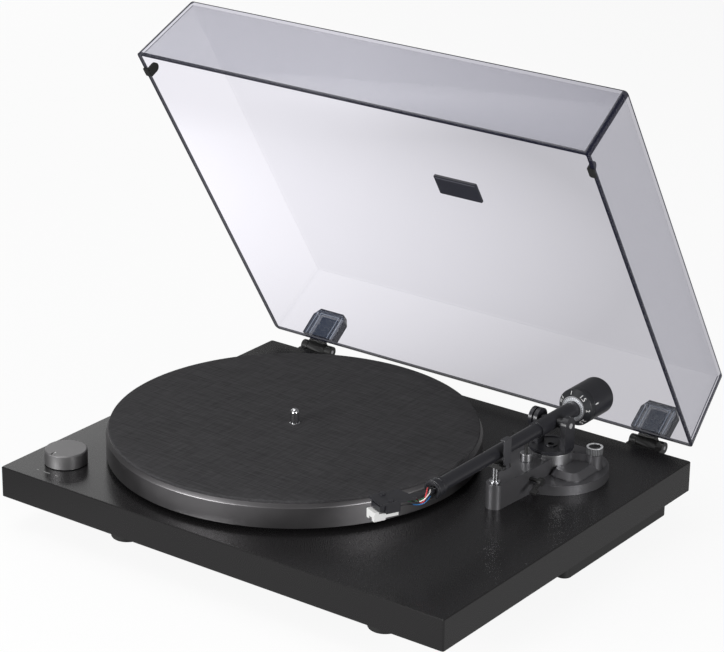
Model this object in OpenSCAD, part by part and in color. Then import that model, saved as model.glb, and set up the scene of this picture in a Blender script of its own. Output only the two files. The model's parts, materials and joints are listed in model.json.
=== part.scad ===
// Belt-driven record turntable with an open, hinged, smoked dust cover.
// Millimetres. X to the right, Y to the back, Z up.

/* [Plinth] */
// Width of the plinth
plinth_w = 430; // [426:1:450]
// Depth of the plinth
plinth_d = 348; // [346:1:365]
// Thickness of the plinth board
plinth_t = 25.5; // [24:0.5:32]
// Radius of the plinth's upright corners
plinth_corner = 1.5; // [1:0.5:4]
// Bevel along the plinth's top edge
plinth_bevel = 0.7; // [0.4:0.1:1]
// Depth of the tray below the plinth
pan_h = 14.5; // [13:0.5:18]
// How far the tray stands in from the plinth's sides
pan_inset = 7; // [5:1:12]
// Depth of the tray, front to back
pan_d = 151; // [148:1:158]
// How far the tray stands in from the plinth's back
pan_back = 22; // [21:1:23]
// Wall of the tray
pan_wall = 1.6; // [1.2:0.1:2]
// Height of a rubber foot
foot_h = 12; // [9:0.5:16]
// Radius of a rubber foot
foot_r = 13.5; // [12:0.5:16]
// Feet, half their spacing left to right
foot_x = 126.8; // [118:0.2:130]
// Feet, how far the pattern stands to the right of the middle
foot_shift = 3.2; // [0:0.2:4]
// Feet, distance of the front pair from the plinth's front
foot_front = 47; // [30:1:60]
// Feet, distance of the back pair from the plinth's back
foot_back = 52; // [46:1:60]

/* [Platter] */
// Spindle axis, left of the plinth's middle
spindle_left = 48.4; // [46:0.1:50]
// Spindle axis, in front of the plinth's middle
spindle_front = 7.3; // [6:0.1:9]
// Radius of the platter
platter_r = 151.7; // [150:0.1:153]
// Thickness of the platter at its rim
platter_t = 20.4; // [19:0.1:22]
// Gap between the plinth and the platter's rim
platter_lift = 3.4; // [3:0.1:4.5]
// Thickness of the platter's web
web_t = 4; // [3:0.5:5]
// Width of the platter's rim
rim_w = 13; // [8:1:16]
// Radius of the slip mat
mat_r = 149.6; // [146:0.1:150]
// Thickness of the slip mat
mat_t = 2.2; // [1.5:0.1:3]
// Radius of the spindle, for a record's hole
spindle_r = 3.6; // [3.55:0.01:3.63]
// Height of the spindle above the mat
spindle_h = 12; // [10:0.5:14]
// Radius of the sub-platter's belt rim
sub_r = 62; // [56:1:68]
// Radius of the motor pulley
pulley_r = 6; // [5:0.5:8]
// Distance from the spindle to the motor
motor_reach = 98; // [92:1:104]
// Direction of the motor from the spindle, in degrees from the right
motor_dir = 135; // [125:1:145]
// Height of the flat belt
belt_h = 4; // [3:0.5:5]
// Thickness of the flat belt
belt_t = 0.8; // [0.6:0.1:1.2]
// Radius of the motor's case
motor_r = 17; // [15:0.5:18]
// Length of the motor's case
motor_len = 24; // [20:0.5:26]

/* [Tone arm] */
// Arm pivot, right of the plinth's middle
pivot_right = 137.2; // [135:0.2:140]
// Arm pivot, behind the plinth's middle
pivot_back = 85.2; // [83:0.2:88]
// Height of the arm's axis above the plinth
arm_z = 45; // [44:0.25:46]
// Turn of the resting arm away from the platter
rest_yaw = 0.6; // [0:0.1:2]
// Lift of the resting arm's nose above level
rest_pitch = 0.5; // [0.2:0.1:0.8]
// Radius of the arm tube
tube_r = 5.5; // [5:0.1:5.7]
// Wall of the arm tube
tube_wall = 0.8; // [0.6:0.1:1.2]
// Distance from the pivot to the tube's mouth
tube_end = 167.5; // [166:0.5:169]
// Distance from the pivot to the line of the cartridge's screws
screw_line = 200.8; // [200:0.1:203]
// How far the cartridge stands inside the arm's axis
head_shift = 17.5; // [17:0.1:18.5]
// Offset angle of the headshell
head_angle = 24.5; // [22:0.1:26]
// Radius of the bearing housing
housing_r = 6.6; // [6.3:0.1:7]
// Radius of the counterweight
weight_r = 15.4; // [14:0.1:17]
// Length of the counterweight
weight_len = 29; // [25:0.5:32]
// Radius of the arm's base disc
base_r = 42.8; // [42:0.2:44]
// Thickness of the arm's base disc
base_t = 8; // [7:0.5:9]
// Radius of the turret
turret_r = 18; // [17:0.1:18.4]
// Radius of the column that carries the arm rest
column_r = 7; // [6:0.1:8]
// Distance from the pivot to that column
column_reach = 79.7; // [79:0.1:82]
// Height of the column and of the base's bar
column_h = 20.5; // [19:0.5:21]

/* [Controls] */
// Radius of the speed knob
knob_r = 17.3; // [15:0.1:19]
// Height of the speed knob
knob_h = 11.6; // [9:0.1:14]
// Speed knob, distance from the plinth's left side
knob_in = 35.2; // [33:0.1:37]
// Speed knob, distance from the plinth's front
knob_up = 38.2; // [36:0.1:42]
// Radius of the anti-skate knob
skate_r = 6.7; // [6:0.1:7.5]
// Travel of the arm lift
lift_travel = 1.5; // [1:0.1:2]

/* [Dust cover] */
// Opening angle of the dust cover
cover_angle = 58.3; // [50:0.1:70]
// Height of the dust cover's skirt
cover_h = 68.8; // [66:0.1:80]
// Wall of the dust cover
cover_wall = 3; // [2.5:0.1:4]
// Gap between the plinth's sides and the closed cover's rim
cover_margin = 1.2; // [1:0.1:4]
// How far the cover's sides lean in over their height
cover_draft = 5.8; // [4:0.1:7]
// Gap between the plinth's top and the closed cover's rim
cover_gap = 2; // [1.5:0.1:2.5]
// Distance from the plinth's back to the hinge axis
hinge_out = 8.6; // [8:0.1:10]
// Hinges, distance of each from the plinth's middle
hinge_x = 169.5; // [160:0.5:180]
// Radius of a hinge pin
hinge_pin_r = 1.6; // [1.4:0.1:1.8]

/* [Hidden] */
$fn = 96;

run = 0.05;        // radial clearance of a running fit
gap = 0.3;         // gap between pieces that move past each other
seat = 0.02;       // gap between pieces that are clamped together
far = 400;

// Heights are counted from the plinth's top; the whole model is then raised to stand on z = 0.
pan_z = -plinth_t - pan_h;
floor_z = pan_z - foot_h;
front_y = -plinth_d / 2;
back_y = plinth_d / 2;

// Dust cover, in its closed place
cover_hw = plinth_w / 2 - cover_margin;
cover_rear = back_y - 1.8;
cover_front = front_y + 0.9;
cover_lean_front = 5;
cover_lean_rear = 7.6;
hinge_y = back_y + hinge_out;
hinge_z = 0.3;
corner_r = 4;

// The middle of the whole model's box, front to back: the open cover reaches furthest back
cover_reach = (cover_gap + cover_h - hinge_z) * sin(cover_angle)
  + (cover_rear - cover_lean_rear - hinge_y) * cos(cover_angle);
middle_y = (front_y + hinge_y + cover_reach) / 2;

module stand() {
  translate([0, -middle_y, -floor_z]) children();
}

module at_spindle() {
  stand() translate([-spindle_left, -spindle_front, 0]) children();
}

module at_motor() {
  at_spindle() rotate(motor_dir) translate([motor_reach, 0, 0]) rotate(-motor_dir) children();
}

module at_pivot() {
  stand() translate([pivot_right, pivot_back, 0]) children();
}

module at_knob() {
  stand() translate([-plinth_w / 2 + knob_in, front_y + knob_up, 0]) children();
}

// The arm's own frame: pivot at the origin, the tube runs towards -Y
module on_arm() {
  at_pivot() translate([0, 0, arm_z]) rotate([0, 0, rest_yaw]) rotate([-rest_pitch, 0, 0]) children();
}

// The yoke turns with the arm but doesn't tilt
module on_yoke() {
  at_pivot() rotate([0, 0, rest_yaw]) children();
}

// The cartridge's frame: origin on the line of its screws, forward is -Y
module on_head() {
  on_arm() translate([-head_shift, -screw_line, 0]) rotate([0, 0, -head_angle]) children();
}

// The dust cover's frame: drawn closed, turned about the hinge axis to its open rest
module opened() {
  stand() translate([0, hinge_y, hinge_z]) rotate([-cover_angle, 0, 0])
    translate([0, -hinge_y, -hinge_z]) children();
}

module along_x(r, x0, x1) {
  translate([x0, 0, 0]) rotate([0, 90, 0]) cylinder(r = r, h = x1 - x0);
}

module along_y(r, y0, y1) {
  translate([0, y1, 0]) rotate([90, 0, 0]) cylinder(r = r, h = y1 - y0);
}

module tube(r, bore, h) {
  difference() {
    cylinder(r = r, h = h);
    translate([0, 0, -1]) cylinder(r = bore, h = h + 2);
  }
}

// Upright block with round corners
module rounded_block(w, d, h, r) {
  linear_extrude(h) rounded_plan(w, d, r);
}

module rounded_plan(w, d, r) {
  square([w - 2 * r, d], center = true);
  square([w, d - 2 * r], center = true);
  for (sx = [-1, 1], sy = [-1, 1]) {
    translate([sx * (w / 2 - r), sy * (d / 2 - r)]) circle(r);
  }
}

// ---------------------------------------------------------------- plinth and tray

motor_hole_r = motor_r + 2.5;
plate_r = motor_r + 11;
plate_t = 1.5;
bush_r = 8;
bush_flange_r = 17;
bush_flange_t = 2.4;
bush_depth = 22;
yaw_hole_r = 10;
knob_hole_r = 9;
board_w = 120;
board_recess = 15.5;
board_d = 62;
board_x = 105;
pan_y = back_y - pan_back - pan_d / 2;
board_y = pan_y + 20;
pan_screw_x = plinth_w / 2 - pan_inset - 14;
pan_screw_r = 1.75;

module pan_screw_places() {
  for (x = [-pan_screw_x, 0, pan_screw_x], sy = [-1, 1]) {
    translate([x, pan_y + sy * (pan_d / 2 - 9), 0]) children();
  }
}

module plinth() {
  color([0.07, 0.07, 0.075]) difference() {
    union() {
      stand() translate([0, 0, -plinth_t])
        rounded_block(plinth_w, plinth_d, plinth_t - plinth_bevel, plinth_corner);
      stand() hull() {
        translate([0, 0, -plinth_bevel - 0.01])
          linear_extrude(0.01) rounded_plan(plinth_w, plinth_d, plinth_corner);
        translate([0, 0, -0.01]) linear_extrude(0.01)
          rounded_plan(plinth_w - 2 * plinth_bevel, plinth_d - 2 * plinth_bevel, plinth_corner);
      }
    }
    at_spindle() translate([0, 0, -far]) cylinder(r = bush_r + 2 * seat, h = 2 * far);
    at_motor() translate([0, 0, -far]) cylinder(r = motor_hole_r, h = 2 * far);
    at_motor() translate([0, 0, -plate_t]) cylinder(r = plate_r + gap, h = far);
    at_motor() motor_screw_places() translate([0, 0, -10]) cylinder(r = 1.5, h = 20);
    at_pivot() translate([0, 0, -far]) cylinder(r = yaw_hole_r, h = 2 * far);
    at_knob() translate([0, 0, -far]) cylinder(r = knob_hole_r, h = 2 * far);
    stand() translate([board_x, board_y, -plinth_t - 1]) translate([-board_w / 2 - 4, -board_d / 2 - 4, 0])
      cube([board_w + 8, board_d + 8, board_recess + 1]);
    stand() pan_screw_places() translate([0, 0, -plinth_t - 1]) cylinder(r = pan_screw_r - 0.2, h = 11);
    stand() for (sx = [-1, 1]) hinge_screw_places(sx) along_y(hinge_screw_r + seat, -12, 1);
  }
}

module bottom_pan() {
  outer_w = plinth_w - 2 * pan_inset;
  color([0.06, 0.06, 0.06]) difference() {
    union() {
      difference() {
        stand() translate([0, pan_y, pan_z]) rounded_block(outer_w, pan_d, pan_h, 6);
        stand() translate([0, pan_y, pan_z + pan_wall])
          rounded_block(outer_w - 2 * pan_wall, pan_d - 2 * pan_wall, pan_h, 6 - pan_wall);
      }
      stand() pan_screw_places() translate([0, 0, pan_z + pan_wall / 2])
        cylinder(r = 4.5, h = pan_h - pan_wall / 2);
      stand() board_screw_places() translate([0, 0, pan_z + pan_wall / 2])
        cylinder(r = 3, h = board_rise + pan_wall / 2);
    }
    stand() pan_screw_places() {
      translate([0, 0, pan_z - 1]) cylinder(r = pan_screw_r + 0.25, h = pan_h + 2);
      translate([0, 0, pan_z - 1]) cylinder(r = 3.4, h = 3);
    }
    stand() board_screw_places() translate([0, 0, pan_z + pan_wall]) cylinder(r = 1.1, h = far);
    stand() for (x = phono_x) jack_cut(x, phono_r);
    stand() jack_cut(ground_x, 2.1);
    stand() jack_cut(inlet_x, inlet_r);
    stand() translate([switch_x - switch_w / 2, pan_rear - 5, jack_z - switch_h / 2])
      cube([switch_w, 10, switch_h]);
    at_motor() translate([0, 0, pan_z - 1]) for (a = [0:60:300])
      rotate(a) translate([9, 0, 0]) cylinder(r = 2, h = pan_wall + 2);
  }
}

module pan_screws() {
  color([0.3, 0.3, 0.3]) stand() pan_screw_places() {
    translate([0, 0, pan_z + 0.2]) cylinder(r = 3.1, h = 1.7);
    translate([0, 0, pan_z + 1.8]) cylinder(r = pan_screw_r - 0.25, h = pan_h + 6);
  }
}

// ---------------------------------------------------------------- feet

module foot_places(front) {
  for (sx = [-1, 1]) {
    translate([foot_shift + sx * foot_x, front ? front_y + foot_front : back_y - foot_back, 0]) children();
  }
}

module front_foot_blocks() {
  color([0.05, 0.05, 0.05]) stand() foot_places(true) difference() {
    translate([0, 0, pan_z]) cylinder(r = foot_r - 1, h = pan_h);
    translate([0, 0, pan_z - 1]) cylinder(r = 2, h = 8);
  }
}

module foot() {
  difference() {
    union() {
      translate([0, 0, 1.5]) cylinder(r = foot_r, h = foot_h - 1.5);
      cylinder(r1 = foot_r - 1.2, r2 = foot_r, h = 1.5);
    }
    translate([0, 0, -1]) cylinder(r = 4, h = 5);
  }
}

module feet() {
  color([0.04, 0.04, 0.04]) stand() for (front = [true, false]) {
    foot_places(front) translate([0, 0, floor_z]) foot();
  }
}

// ---------------------------------------------------------------- drive

shaft_r = 3;
shoulder_r = 4.3;
sub_top = platter_lift + platter_t - web_t;
hub_r = 15;
sub_rim_h = 13;
sub_rim_w = 4;
ball_r = 2;
shaft_end = -18;
belt_z = sub_top - 10;
pulley_top = belt_z + belt_h + 2.5;
pulley_foot = belt_z - 2.5;
motor_top = -plate_t - 0.2;
motor_shaft_r = 1;

module bearing_housing() {
  color([0.72, 0.6, 0.3]) at_spindle() difference() {
    union() {
      cylinder(r = bush_flange_r, h = bush_flange_t);
      translate([0, 0, -bush_depth]) cylinder(r = bush_r, h = bush_depth);
    }
    translate([0, 0, shaft_end - ball_r * 2 - 0.1]) cylinder(r = shaft_r + run, h = far);
  }
}

module thrust_ball() {
  color([0.8, 0.8, 0.82]) at_spindle() translate([0, 0, shaft_end - ball_r - 0.05]) sphere(ball_r);
}

module spindle() {
  tip = 2.2;
  top = platter_lift + platter_t + mat_t + spindle_h;
  color([0.85, 0.85, 0.86]) at_spindle() {
    translate([0, 0, shaft_end]) cylinder(r = shaft_r, h = sub_top - 4 - shaft_end);
    translate([0, 0, sub_top - 4]) cylinder(r = shoulder_r, h = top - spindle_h - sub_top + 4);
    translate([0, 0, top - spindle_h]) cylinder(r = spindle_r, h = spindle_h - tip);
    translate([0, 0, top - tip]) cylinder(r1 = spindle_r, r2 = spindle_r - 1.6, h = tip);
  }
}

module sub_platter() {
  color([0.12, 0.12, 0.12]) at_spindle() difference() {
    union() {
      translate([0, 0, bush_flange_t + 0.6]) cylinder(r = hub_r, h = sub_top - bush_flange_t - 0.6);
      translate([0, 0, sub_top - 3]) cylinder(r = sub_r, h = 3);
      translate([0, 0, sub_top - sub_rim_h]) tube(sub_r, sub_r - sub_rim_w, sub_rim_h - 1);
    }
    translate([0, 0, -far]) cylinder(r = shaft_r + seat, h = 2 * far);
    translate([0, 0, sub_top - 4]) cylinder(r = shoulder_r + seat, h = far);
  }
}

module platter() {
  bevel_h = 3.2;
  bevel_w = 2.2;
  color([0.3, 0.3, 0.31]) at_spindle() difference() {
    union() {
      translate([0, 0, platter_lift]) cylinder(r = platter_r, h = platter_t - bevel_h);
      translate([0, 0, platter_lift + platter_t - bevel_h])
        cylinder(r1 = platter_r, r2 = platter_r - bevel_w, h = bevel_h);
    }
    translate([0, 0, platter_lift - 1]) cylinder(r = platter_r - rim_w, h = platter_t - web_t + 1);
    cylinder(r = shoulder_r + seat, h = far);
  }
}

module slip_mat() {
  color([0.2, 0.2, 0.21]) at_spindle() translate([0, 0, platter_lift + platter_t])
    tube(mat_r, shoulder_r + 0.3, mat_t);
}

// Flat belt round the sub-platter and the pulley: outer loop less inner loop
function arc(cx, r, a0, a1, n) =
  [for (i = [0:n]) let (a = a0 + (a1 - a0) * i / n) [cx + r * cos(a), r * sin(a)]];

module belt_loop(rim, wheel) {
  lean = asin((rim - wheel) / motor_reach);
  polygon(concat(
    arc(0, rim, 90 - lean, 270 + lean, 60),
    arc(motor_reach, wheel, -90 + lean, 90 - lean, 24)));
}

module drive_belt() {
  color([0.03, 0.03, 0.03]) at_spindle() rotate(motor_dir) translate([0, 0, belt_z])
    linear_extrude(belt_h) difference() {
      belt_loop(sub_r + gap + belt_t, pulley_r + gap + belt_t);
      belt_loop(sub_r + gap, pulley_r + gap);
    }
}

module motor_screw_places() {
  for (a = [30, 150, 270]) rotate(a) translate([plate_r - 4.5, 0, 0]) children();
}

grommet_r = 3.6;
motor_screw_r = 1.4;

module motor_plate() {
  color([0.6, 0.6, 0.62]) at_motor() translate([0, 0, -plate_t]) difference() {
    cylinder(r = plate_r, h = plate_t);
    translate([0, 0, -1]) cylinder(r = 5.2, h = plate_t + 2);
    motor_screw_places() translate([0, 0, -1]) cylinder(r = 2.4, h = plate_t + 2);
  }
}

module motor_grommets() {
  color([0.05, 0.05, 0.05]) at_motor() motor_screw_places() {
    tube(grommet_r, motor_screw_r + 0.1, 1);
    translate([0, 0, -plate_t + 0.02]) tube(2.3, motor_screw_r + 0.1, plate_t);
  }
}

module motor_screws() {
  color([0.7, 0.7, 0.7]) at_motor() motor_screw_places() {
    translate([0, 0, 1]) cylinder(r = 2.6, h = 1);
    translate([0, 0, -9.5]) cylinder(r = motor_screw_r, h = 10.6);
  }
}

module motor() {
  color([0.55, 0.55, 0.57]) at_motor() difference() {
    union() {
      translate([0, 0, motor_top - motor_len]) cylinder(r = motor_r, h = motor_len);
      translate([0, 0, motor_top - 0.5]) cylinder(r = 5, h = 2.4);
    }
    translate([0, 0, motor_top - motor_len + 3]) cylinder(r = motor_shaft_r + run, h = far);
  }
}

module motor_shaft() {
  color([0.8, 0.8, 0.82]) at_motor() translate([0, 0, motor_top - motor_len + 3.3])
    cylinder(r = motor_shaft_r, h = pulley_top - 0.5 - motor_top + motor_len - 3.3);
}

module motor_pulley() {
  color([0.75, 0.6, 0.25]) at_motor() difference() {
    union() {
      translate([0, 0, pulley_foot]) cylinder(r = pulley_r, h = pulley_top - pulley_foot);
      translate([0, 0, pulley_foot]) cylinder(r = pulley_r + 1.6, h = 1);
      translate([0, 0, pulley_top - 1]) cylinder(r = pulley_r + 1.6, h = 1);
    }
    translate([0, 0, pulley_foot - 1]) cylinder(r = motor_shaft_r + seat, h = far);
  }
}

// ---------------------------------------------------------------- electronics

board_rise = 4;
board_t = 1.6;
pan_rear = pan_y + pan_d / 2;
jack_z = pan_z + pan_h / 2 + 0.3;
phono_x = [66, 82];
phono_r = 4.1;
ground_x = 96;
inlet_x = 112;
inlet_r = 4.5;
switch_x = 134;
switch_w = 12;
switch_h = 6;

module jack_cut(x, r) {
  translate([x, pan_rear, jack_z]) along_y(r + 0.05, -6, 5);
}

module board_screw_places() {
  for (sx = [-1, 1], sy = [-1, 1]) {
    translate([board_x + sx * (board_w / 2 - 5), board_y + sy * (board_d / 2 - 5), 0]) children();
  }
}

module circuit_board() {
  z = pan_z + pan_wall + board_rise;
  color([0.05, 0.3, 0.12]) difference() {
    union() {
      stand() translate([board_x - board_w / 2, board_y - board_d / 2, z]) cube([board_w, board_d, board_t]);
      stand() translate([board_x - 12, board_y - 8, z + board_t / 2]) cube([14, 14, 3]);
      stand() translate([board_x + 16, board_y - 18, z + board_t / 2]) cube([9, 7, 3.4]);
      for (i = [0:4]) stand() translate([board_x - 50 + 9 * i, board_y - 16, z + board_t / 2])
        cylinder(r = 3, h = 9);
    }
    stand() board_screw_places() translate([0, 0, z - 1]) cylinder(r = 1.6, h = 12);
  }
}

module board_screws() {
  z = pan_z + pan_wall + board_rise + board_t;
  color([0.7, 0.7, 0.7]) stand() board_screw_places() {
    translate([0, 0, z]) cylinder(r = 2.4, h = 1.4);
    translate([0, 0, z - 5]) cylinder(r = 1, h = 5.2);
  }
}

module phono_sockets() {
  color([0.78, 0.78, 0.8]) for (x = phono_x) stand() translate([x, pan_rear, jack_z]) difference() {
    union() {
      along_y(phono_r, -6, 9);
      along_y(5.5, 0, 1.5);
    }
    along_y(1.7, -2, 10);
  }
}

module ground_post() {
  color([0.8, 0.7, 0.4]) stand() translate([ground_x, pan_rear, jack_z]) {
    along_y(2, -5, 6);
    along_y(4, 1.2, 5);
  }
}

module dc_inlet() {
  color([0.06, 0.06, 0.06]) stand() translate([inlet_x, pan_rear, jack_z]) difference() {
    union() {
      along_y(inlet_r, -9, 1);
      along_y(5.6, 0, 1.6);
    }
    difference() {
      along_y(2.75, -7, 3);
      along_y(1, -8, 0.5);
    }
  }
}

module switch_frame() {
  color([0.05, 0.05, 0.05]) stand() translate([switch_x, pan_rear, jack_z]) difference() {
    union() {
      translate([-switch_w / 2 + 0.1, -6, -switch_h / 2 + 0.1]) cube([switch_w - 0.2, 7, switch_h - 0.2]);
      translate([-switch_w / 2 - 1.5, 0, -switch_h / 2 - 1]) cube([switch_w + 3, 1.2, switch_h + 2]);
    }
    translate([-4, -4, -1.6]) cube([8, 10, 3.2]);
  }
}

module line_switch() {
  color([0.5, 0.5, 0.5]) stand() translate([switch_x - 2, pan_rear, jack_z])
    translate([-1.7, -3.7, -1.3]) cube([3.4, 6.6, 2.6]);
}

module speed_switch() {
  color([0.1, 0.1, 0.1]) at_knob() difference() {
    union() {
      translate([0, 0, -plinth_t + 4]) cylinder(r = knob_hole_r - 0.1, h = plinth_t - 8);
      translate([0, 0, -5]) cylinder(r = 3.5, h = 4.5);
    }
    translate([0, 0, -16]) cylinder(r = 3 + run, h = far);
  }
}

module knob_shaft() {
  color([0.75, 0.75, 0.76]) at_knob() translate([0, 0, -15.5]) cylinder(r = 3, h = 15.5 + knob_h - 3);
}

module speed_knob() {
  bevel = 0.9;
  color([0.2, 0.2, 0.2]) at_knob() difference() {
    union() {
      translate([0, 0, 0.6]) cylinder(r = knob_r, h = knob_h - bevel);
      translate([0, 0, 0.6 + knob_h - bevel]) cylinder(r1 = knob_r, r2 = knob_r - bevel, h = bevel);
    }
    translate([0, 0, -1]) cylinder(r = 3 + seat, h = knob_h - 1.8);
    rotate(-95) translate([knob_r - 7, -0.6, 0.6 + knob_h - 0.4]) cube([6, 1.2, 1]);
  }
}

// ---------------------------------------------------------------- hinges and cover

ear_r = 4.9;
ear_w = 6;
ear_x = 9.7;
knuckle_w = 2 * (ear_x - gap);
tongue_w = 17;
tongue_t = 2.4;
tongue_len = 24;

hinge_screw_r = 1.6;

module hinge_screw_places(sx) {
  for (dx = [-6, 6]) translate([sx * hinge_x + dx, back_y, -15]) children();
}

module hinge_brackets() {
  plate_w = 2 * (ear_x + ear_w);
  color([0.05, 0.05, 0.05]) for (sx = [-1, 1]) difference() {
    union() {
      stand() translate([sx * hinge_x - plate_w / 2, back_y, -20.5]) cube([plate_w, 2.4, 20]);
      for (side = [-1, 1]) stand() translate([sx * hinge_x + side * (ear_x + ear_w / 2), 0, 0]) {
        translate([-ear_w / 2, back_y, -9]) cube([ear_w, hinge_out, 9 + hinge_z]);
        translate([0, hinge_y, hinge_z]) along_x(ear_r, -ear_w / 2, ear_w / 2);
      }
    }
    stand() translate([sx * hinge_x, hinge_y, hinge_z]) along_x(hinge_pin_r + seat, -30, 30);
    stand() hinge_screw_places(sx) along_y(hinge_screw_r + 0.1, -1, 4);
  }
}

module hinge_pins() {
  reach = ear_x + ear_w;
  color([0.75, 0.75, 0.77]) stand() for (sx = [-1, 1]) translate([sx * hinge_x, hinge_y, hinge_z])
    along_x(hinge_pin_r, -reach, reach);
}

module hinge_screws() {
  color([0.75, 0.75, 0.77]) stand() for (sx = [-1, 1]) hinge_screw_places(sx) {
    along_y(hinge_screw_r, -10, 2.5);
    along_y(3, 2.4, 3.8);
  }
}

// The outside of the cover's back wall leans forward as it rises
rear_lean = atan(cover_lean_rear / cover_h);

module on_rear_wall() {
  translate([0, cover_rear, cover_gap]) rotate([rear_lean, 0, 0]) children();
}

module hinge_leaves() {
  color([0.05, 0.05, 0.05]) for (sx = [-1, 1]) difference() {
    union() {
      opened() translate([sx * hinge_x, hinge_y, hinge_z]) along_x(ear_r - 0.3, -knuckle_w / 2, knuckle_w / 2);
      opened() translate([sx * hinge_x - tongue_w / 2, cover_rear + 3.2, hinge_z + 1])
        cube([tongue_w, hinge_y - cover_rear - 3.2, 3.4]);
      opened() on_rear_wall() translate([sx * hinge_x - tongue_w / 2, 3.2, 1])
        cube([tongue_w, tongue_t, tongue_len]);
    }
    opened() translate([sx * hinge_x, hinge_y, hinge_z]) along_x(hinge_pin_r + run, -30, 30);
  }
}

module socket_plan() {
  polygon([[-17, 0], [17, 0], [17, 20], [12.5, 27], [-12.5, 27], [-17, 20]]);
}

module cover_sockets() {
  color([0.35, 0.4, 0.5, 0.6]) opened() for (sx = [-1, 1]) difference() {
    on_rear_wall() translate([sx * hinge_x, 0, 4]) rotate([90, 0, 0])
      translate([0, 0, -8]) linear_extrude(7.9) socket_plan();
    on_rear_wall() translate([sx * hinge_x - tongue_w / 2 - 0.1, 3.1, 0])
      cube([tongue_w + 0.2, tongue_t + 0.2, tongue_len + 1.2]);
  }
}

// A tapered box with round upright corners, wall inset by t
module cover_form(t, top) {
  w = cover_hw - t;
  front = cover_front + t;
  rear = cover_rear - t;
  high = cover_gap + cover_h - top;
  r = corner_r - t;
  land = 0.4;
  hull() {
    for (sx = [-1, 1]) {
      translate([sx * (w - r), front + r, cover_gap]) cylinder(r = r, h = land, $fn = 24);
      translate([sx * (w - r), rear - r, cover_gap]) cylinder(r = r, h = land, $fn = 24);
      translate([sx * (w - cover_draft - r), front + cover_lean_front + r, high - land])
        cylinder(r = r, h = land, $fn = 24);
      translate([sx * (w - cover_draft - r), rear - cover_lean_rear - r, high - land])
        cylinder(r = r, h = land, $fn = 24);
    }
  }
}

module dust_cover() {
  color([0.45, 0.48, 0.55, 0.5]) opened() difference() {
    cover_form(0, 0);
    difference() {
      translate([0, 0, -0.6]) cover_form(cover_wall, cover_wall - 0.6);
      translate([0, 0, cover_gap + cover_h - cover_wall]) translate([-far, -far, 0]) cube(2 * far);
    }
  }
}

bumper_y = cover_front + 21;
side_lean = atan(cover_draft / cover_h);

// A rubber clip on each side's rim: a foot below the rim and a round tab on the wall's inside
module cover_bumpers() {
  inner = cover_hw - cover_wall;
  color([0.04, 0.04, 0.04]) opened() for (sx = [-1, 1]) {
    translate([sx * (cover_hw - cover_wall / 2 - 1), bumper_y, cover_gap - 1.6])
      rounded_block(cover_wall + 2, 8.4, 1.58, 1);
    translate([sx * (inner - 0.02), bumper_y, cover_gap]) rotate([0, -sx * side_lean, 0]) {
      translate([-sx * 2.2 - 1, -4.2, -0.6]) cube([2, 8.4, 6]);
      translate([-sx * 2.2, 0, 5.2]) along_x(4.2, -1, 1);
    }
  }
}

module badge_plate() {
  color([0.05, 0.05, 0.06]) opened()
    translate([0, (cover_front + cover_rear) / 2, cover_gap + cover_h + seat]) difference() {
      rounded_block(42, 21.5, 2, 1.2);
      difference() {
        translate([-19.6, -9.4, 1.6]) cube([39.2, 18.8, 2]);
        translate([-18.8, -8.6, 1.5]) cube([37.6, 17.2, 2]);
      }
    }
}

// ---------------------------------------------------------------- arm base

base_off = [3.6, 1.6, 0];
pedestal_top = base_t + 5.2;
collar_top = pedestal_top + 9.3;
yoke_foot = collar_top + gap;
yaw_r = 5;
boss_x = 31.8;
boss_y = 14.3;
boss_r = 6.4;
lift_x = -4.1;
lift_y = -29.7;
lift_r = 4.9;
piston_r = 1.5;
lever_z = 13;
lever_y = -43.5;
lever_x = 17.5;

module bar_plan(grow) {
  polygon([
    [-column_r - grow, -column_reach], [column_r + grow, -column_reach],
    [column_r + 2.4 + grow, -base_r], [turret_r - 7 + grow, -12],
    [turret_r - 7 + grow, 0], [-turret_r + 5 - grow, 0],
    [-turret_r + 5 - grow, -12], [-column_r - 2.4 - grow, -base_r]]);
}

module arm_base() {
  color([0.16, 0.16, 0.165]) at_pivot() difference() {
    union() {
      translate(base_off) cylinder(r = base_r, h = base_t);
      linear_extrude(column_h) bar_plan(0);
      translate([0, -column_reach, 0]) cylinder(r = column_r, h = column_h);
      cylinder(r = turret_r, h = pedestal_top);
      translate([boss_x, boss_y, 0]) cylinder(r = boss_r, h = column_h);
      linear_extrude(column_h - 0.5) rib_plan(2);
    }
    translate([0, 0, pedestal_top]) cylinder(r = turret_r + 0.1, h = far);
    translate([0, 0, -1]) cylinder(r = yaw_r + run, h = far);
    translate([boss_x, boss_y, 6]) cylinder(r = 2 + run, h = far);
    translate([lift_x, lift_y, 4]) cylinder(r = piston_r + run, h = far);
    translate([0, -column_reach, 8]) cylinder(r = 1.5 + seat, h = far);
    translate([0, lever_y, lever_z]) along_x(1.5 + run, 2, far);
  }
}

module rib_plan(half) {
  turn = atan2(boss_y, boss_x);
  rotate(turn) translate([turret_r - 4, -half]) square([norm([boss_x, boss_y]) - turret_r + 2, 2 * half]);
}

module cover_plan(inset) {
  translate([24, 4.5]) rounded_plan(27.6 - 2 * inset, 52 - 2 * inset, 9 - inset);
}

module arm_cover() {
  color([0.13, 0.13, 0.135]) at_pivot() difference() {
    union() {
      translate([0, 0, base_t]) linear_extrude(1.2) cover_plan(0);
      hull() {
        translate([0, 0, base_t + 1]) linear_extrude(0.01) cover_plan(0);
        translate([0, 0, base_t + 5.99]) linear_extrude(0.01) cover_plan(4.2);
      }
    }
    translate([0, 0, base_t - 1]) cylinder(r = turret_r + gap, h = far);
    translate([boss_x, boss_y, base_t - 1]) cylinder(r = boss_r + gap, h = far);
    translate([0, 0, base_t - 1]) linear_extrude(far) rib_plan(2 + gap);
    translate([0, 0, base_t - 1]) linear_extrude(far) bar_plan(gap);
  }
}

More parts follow.
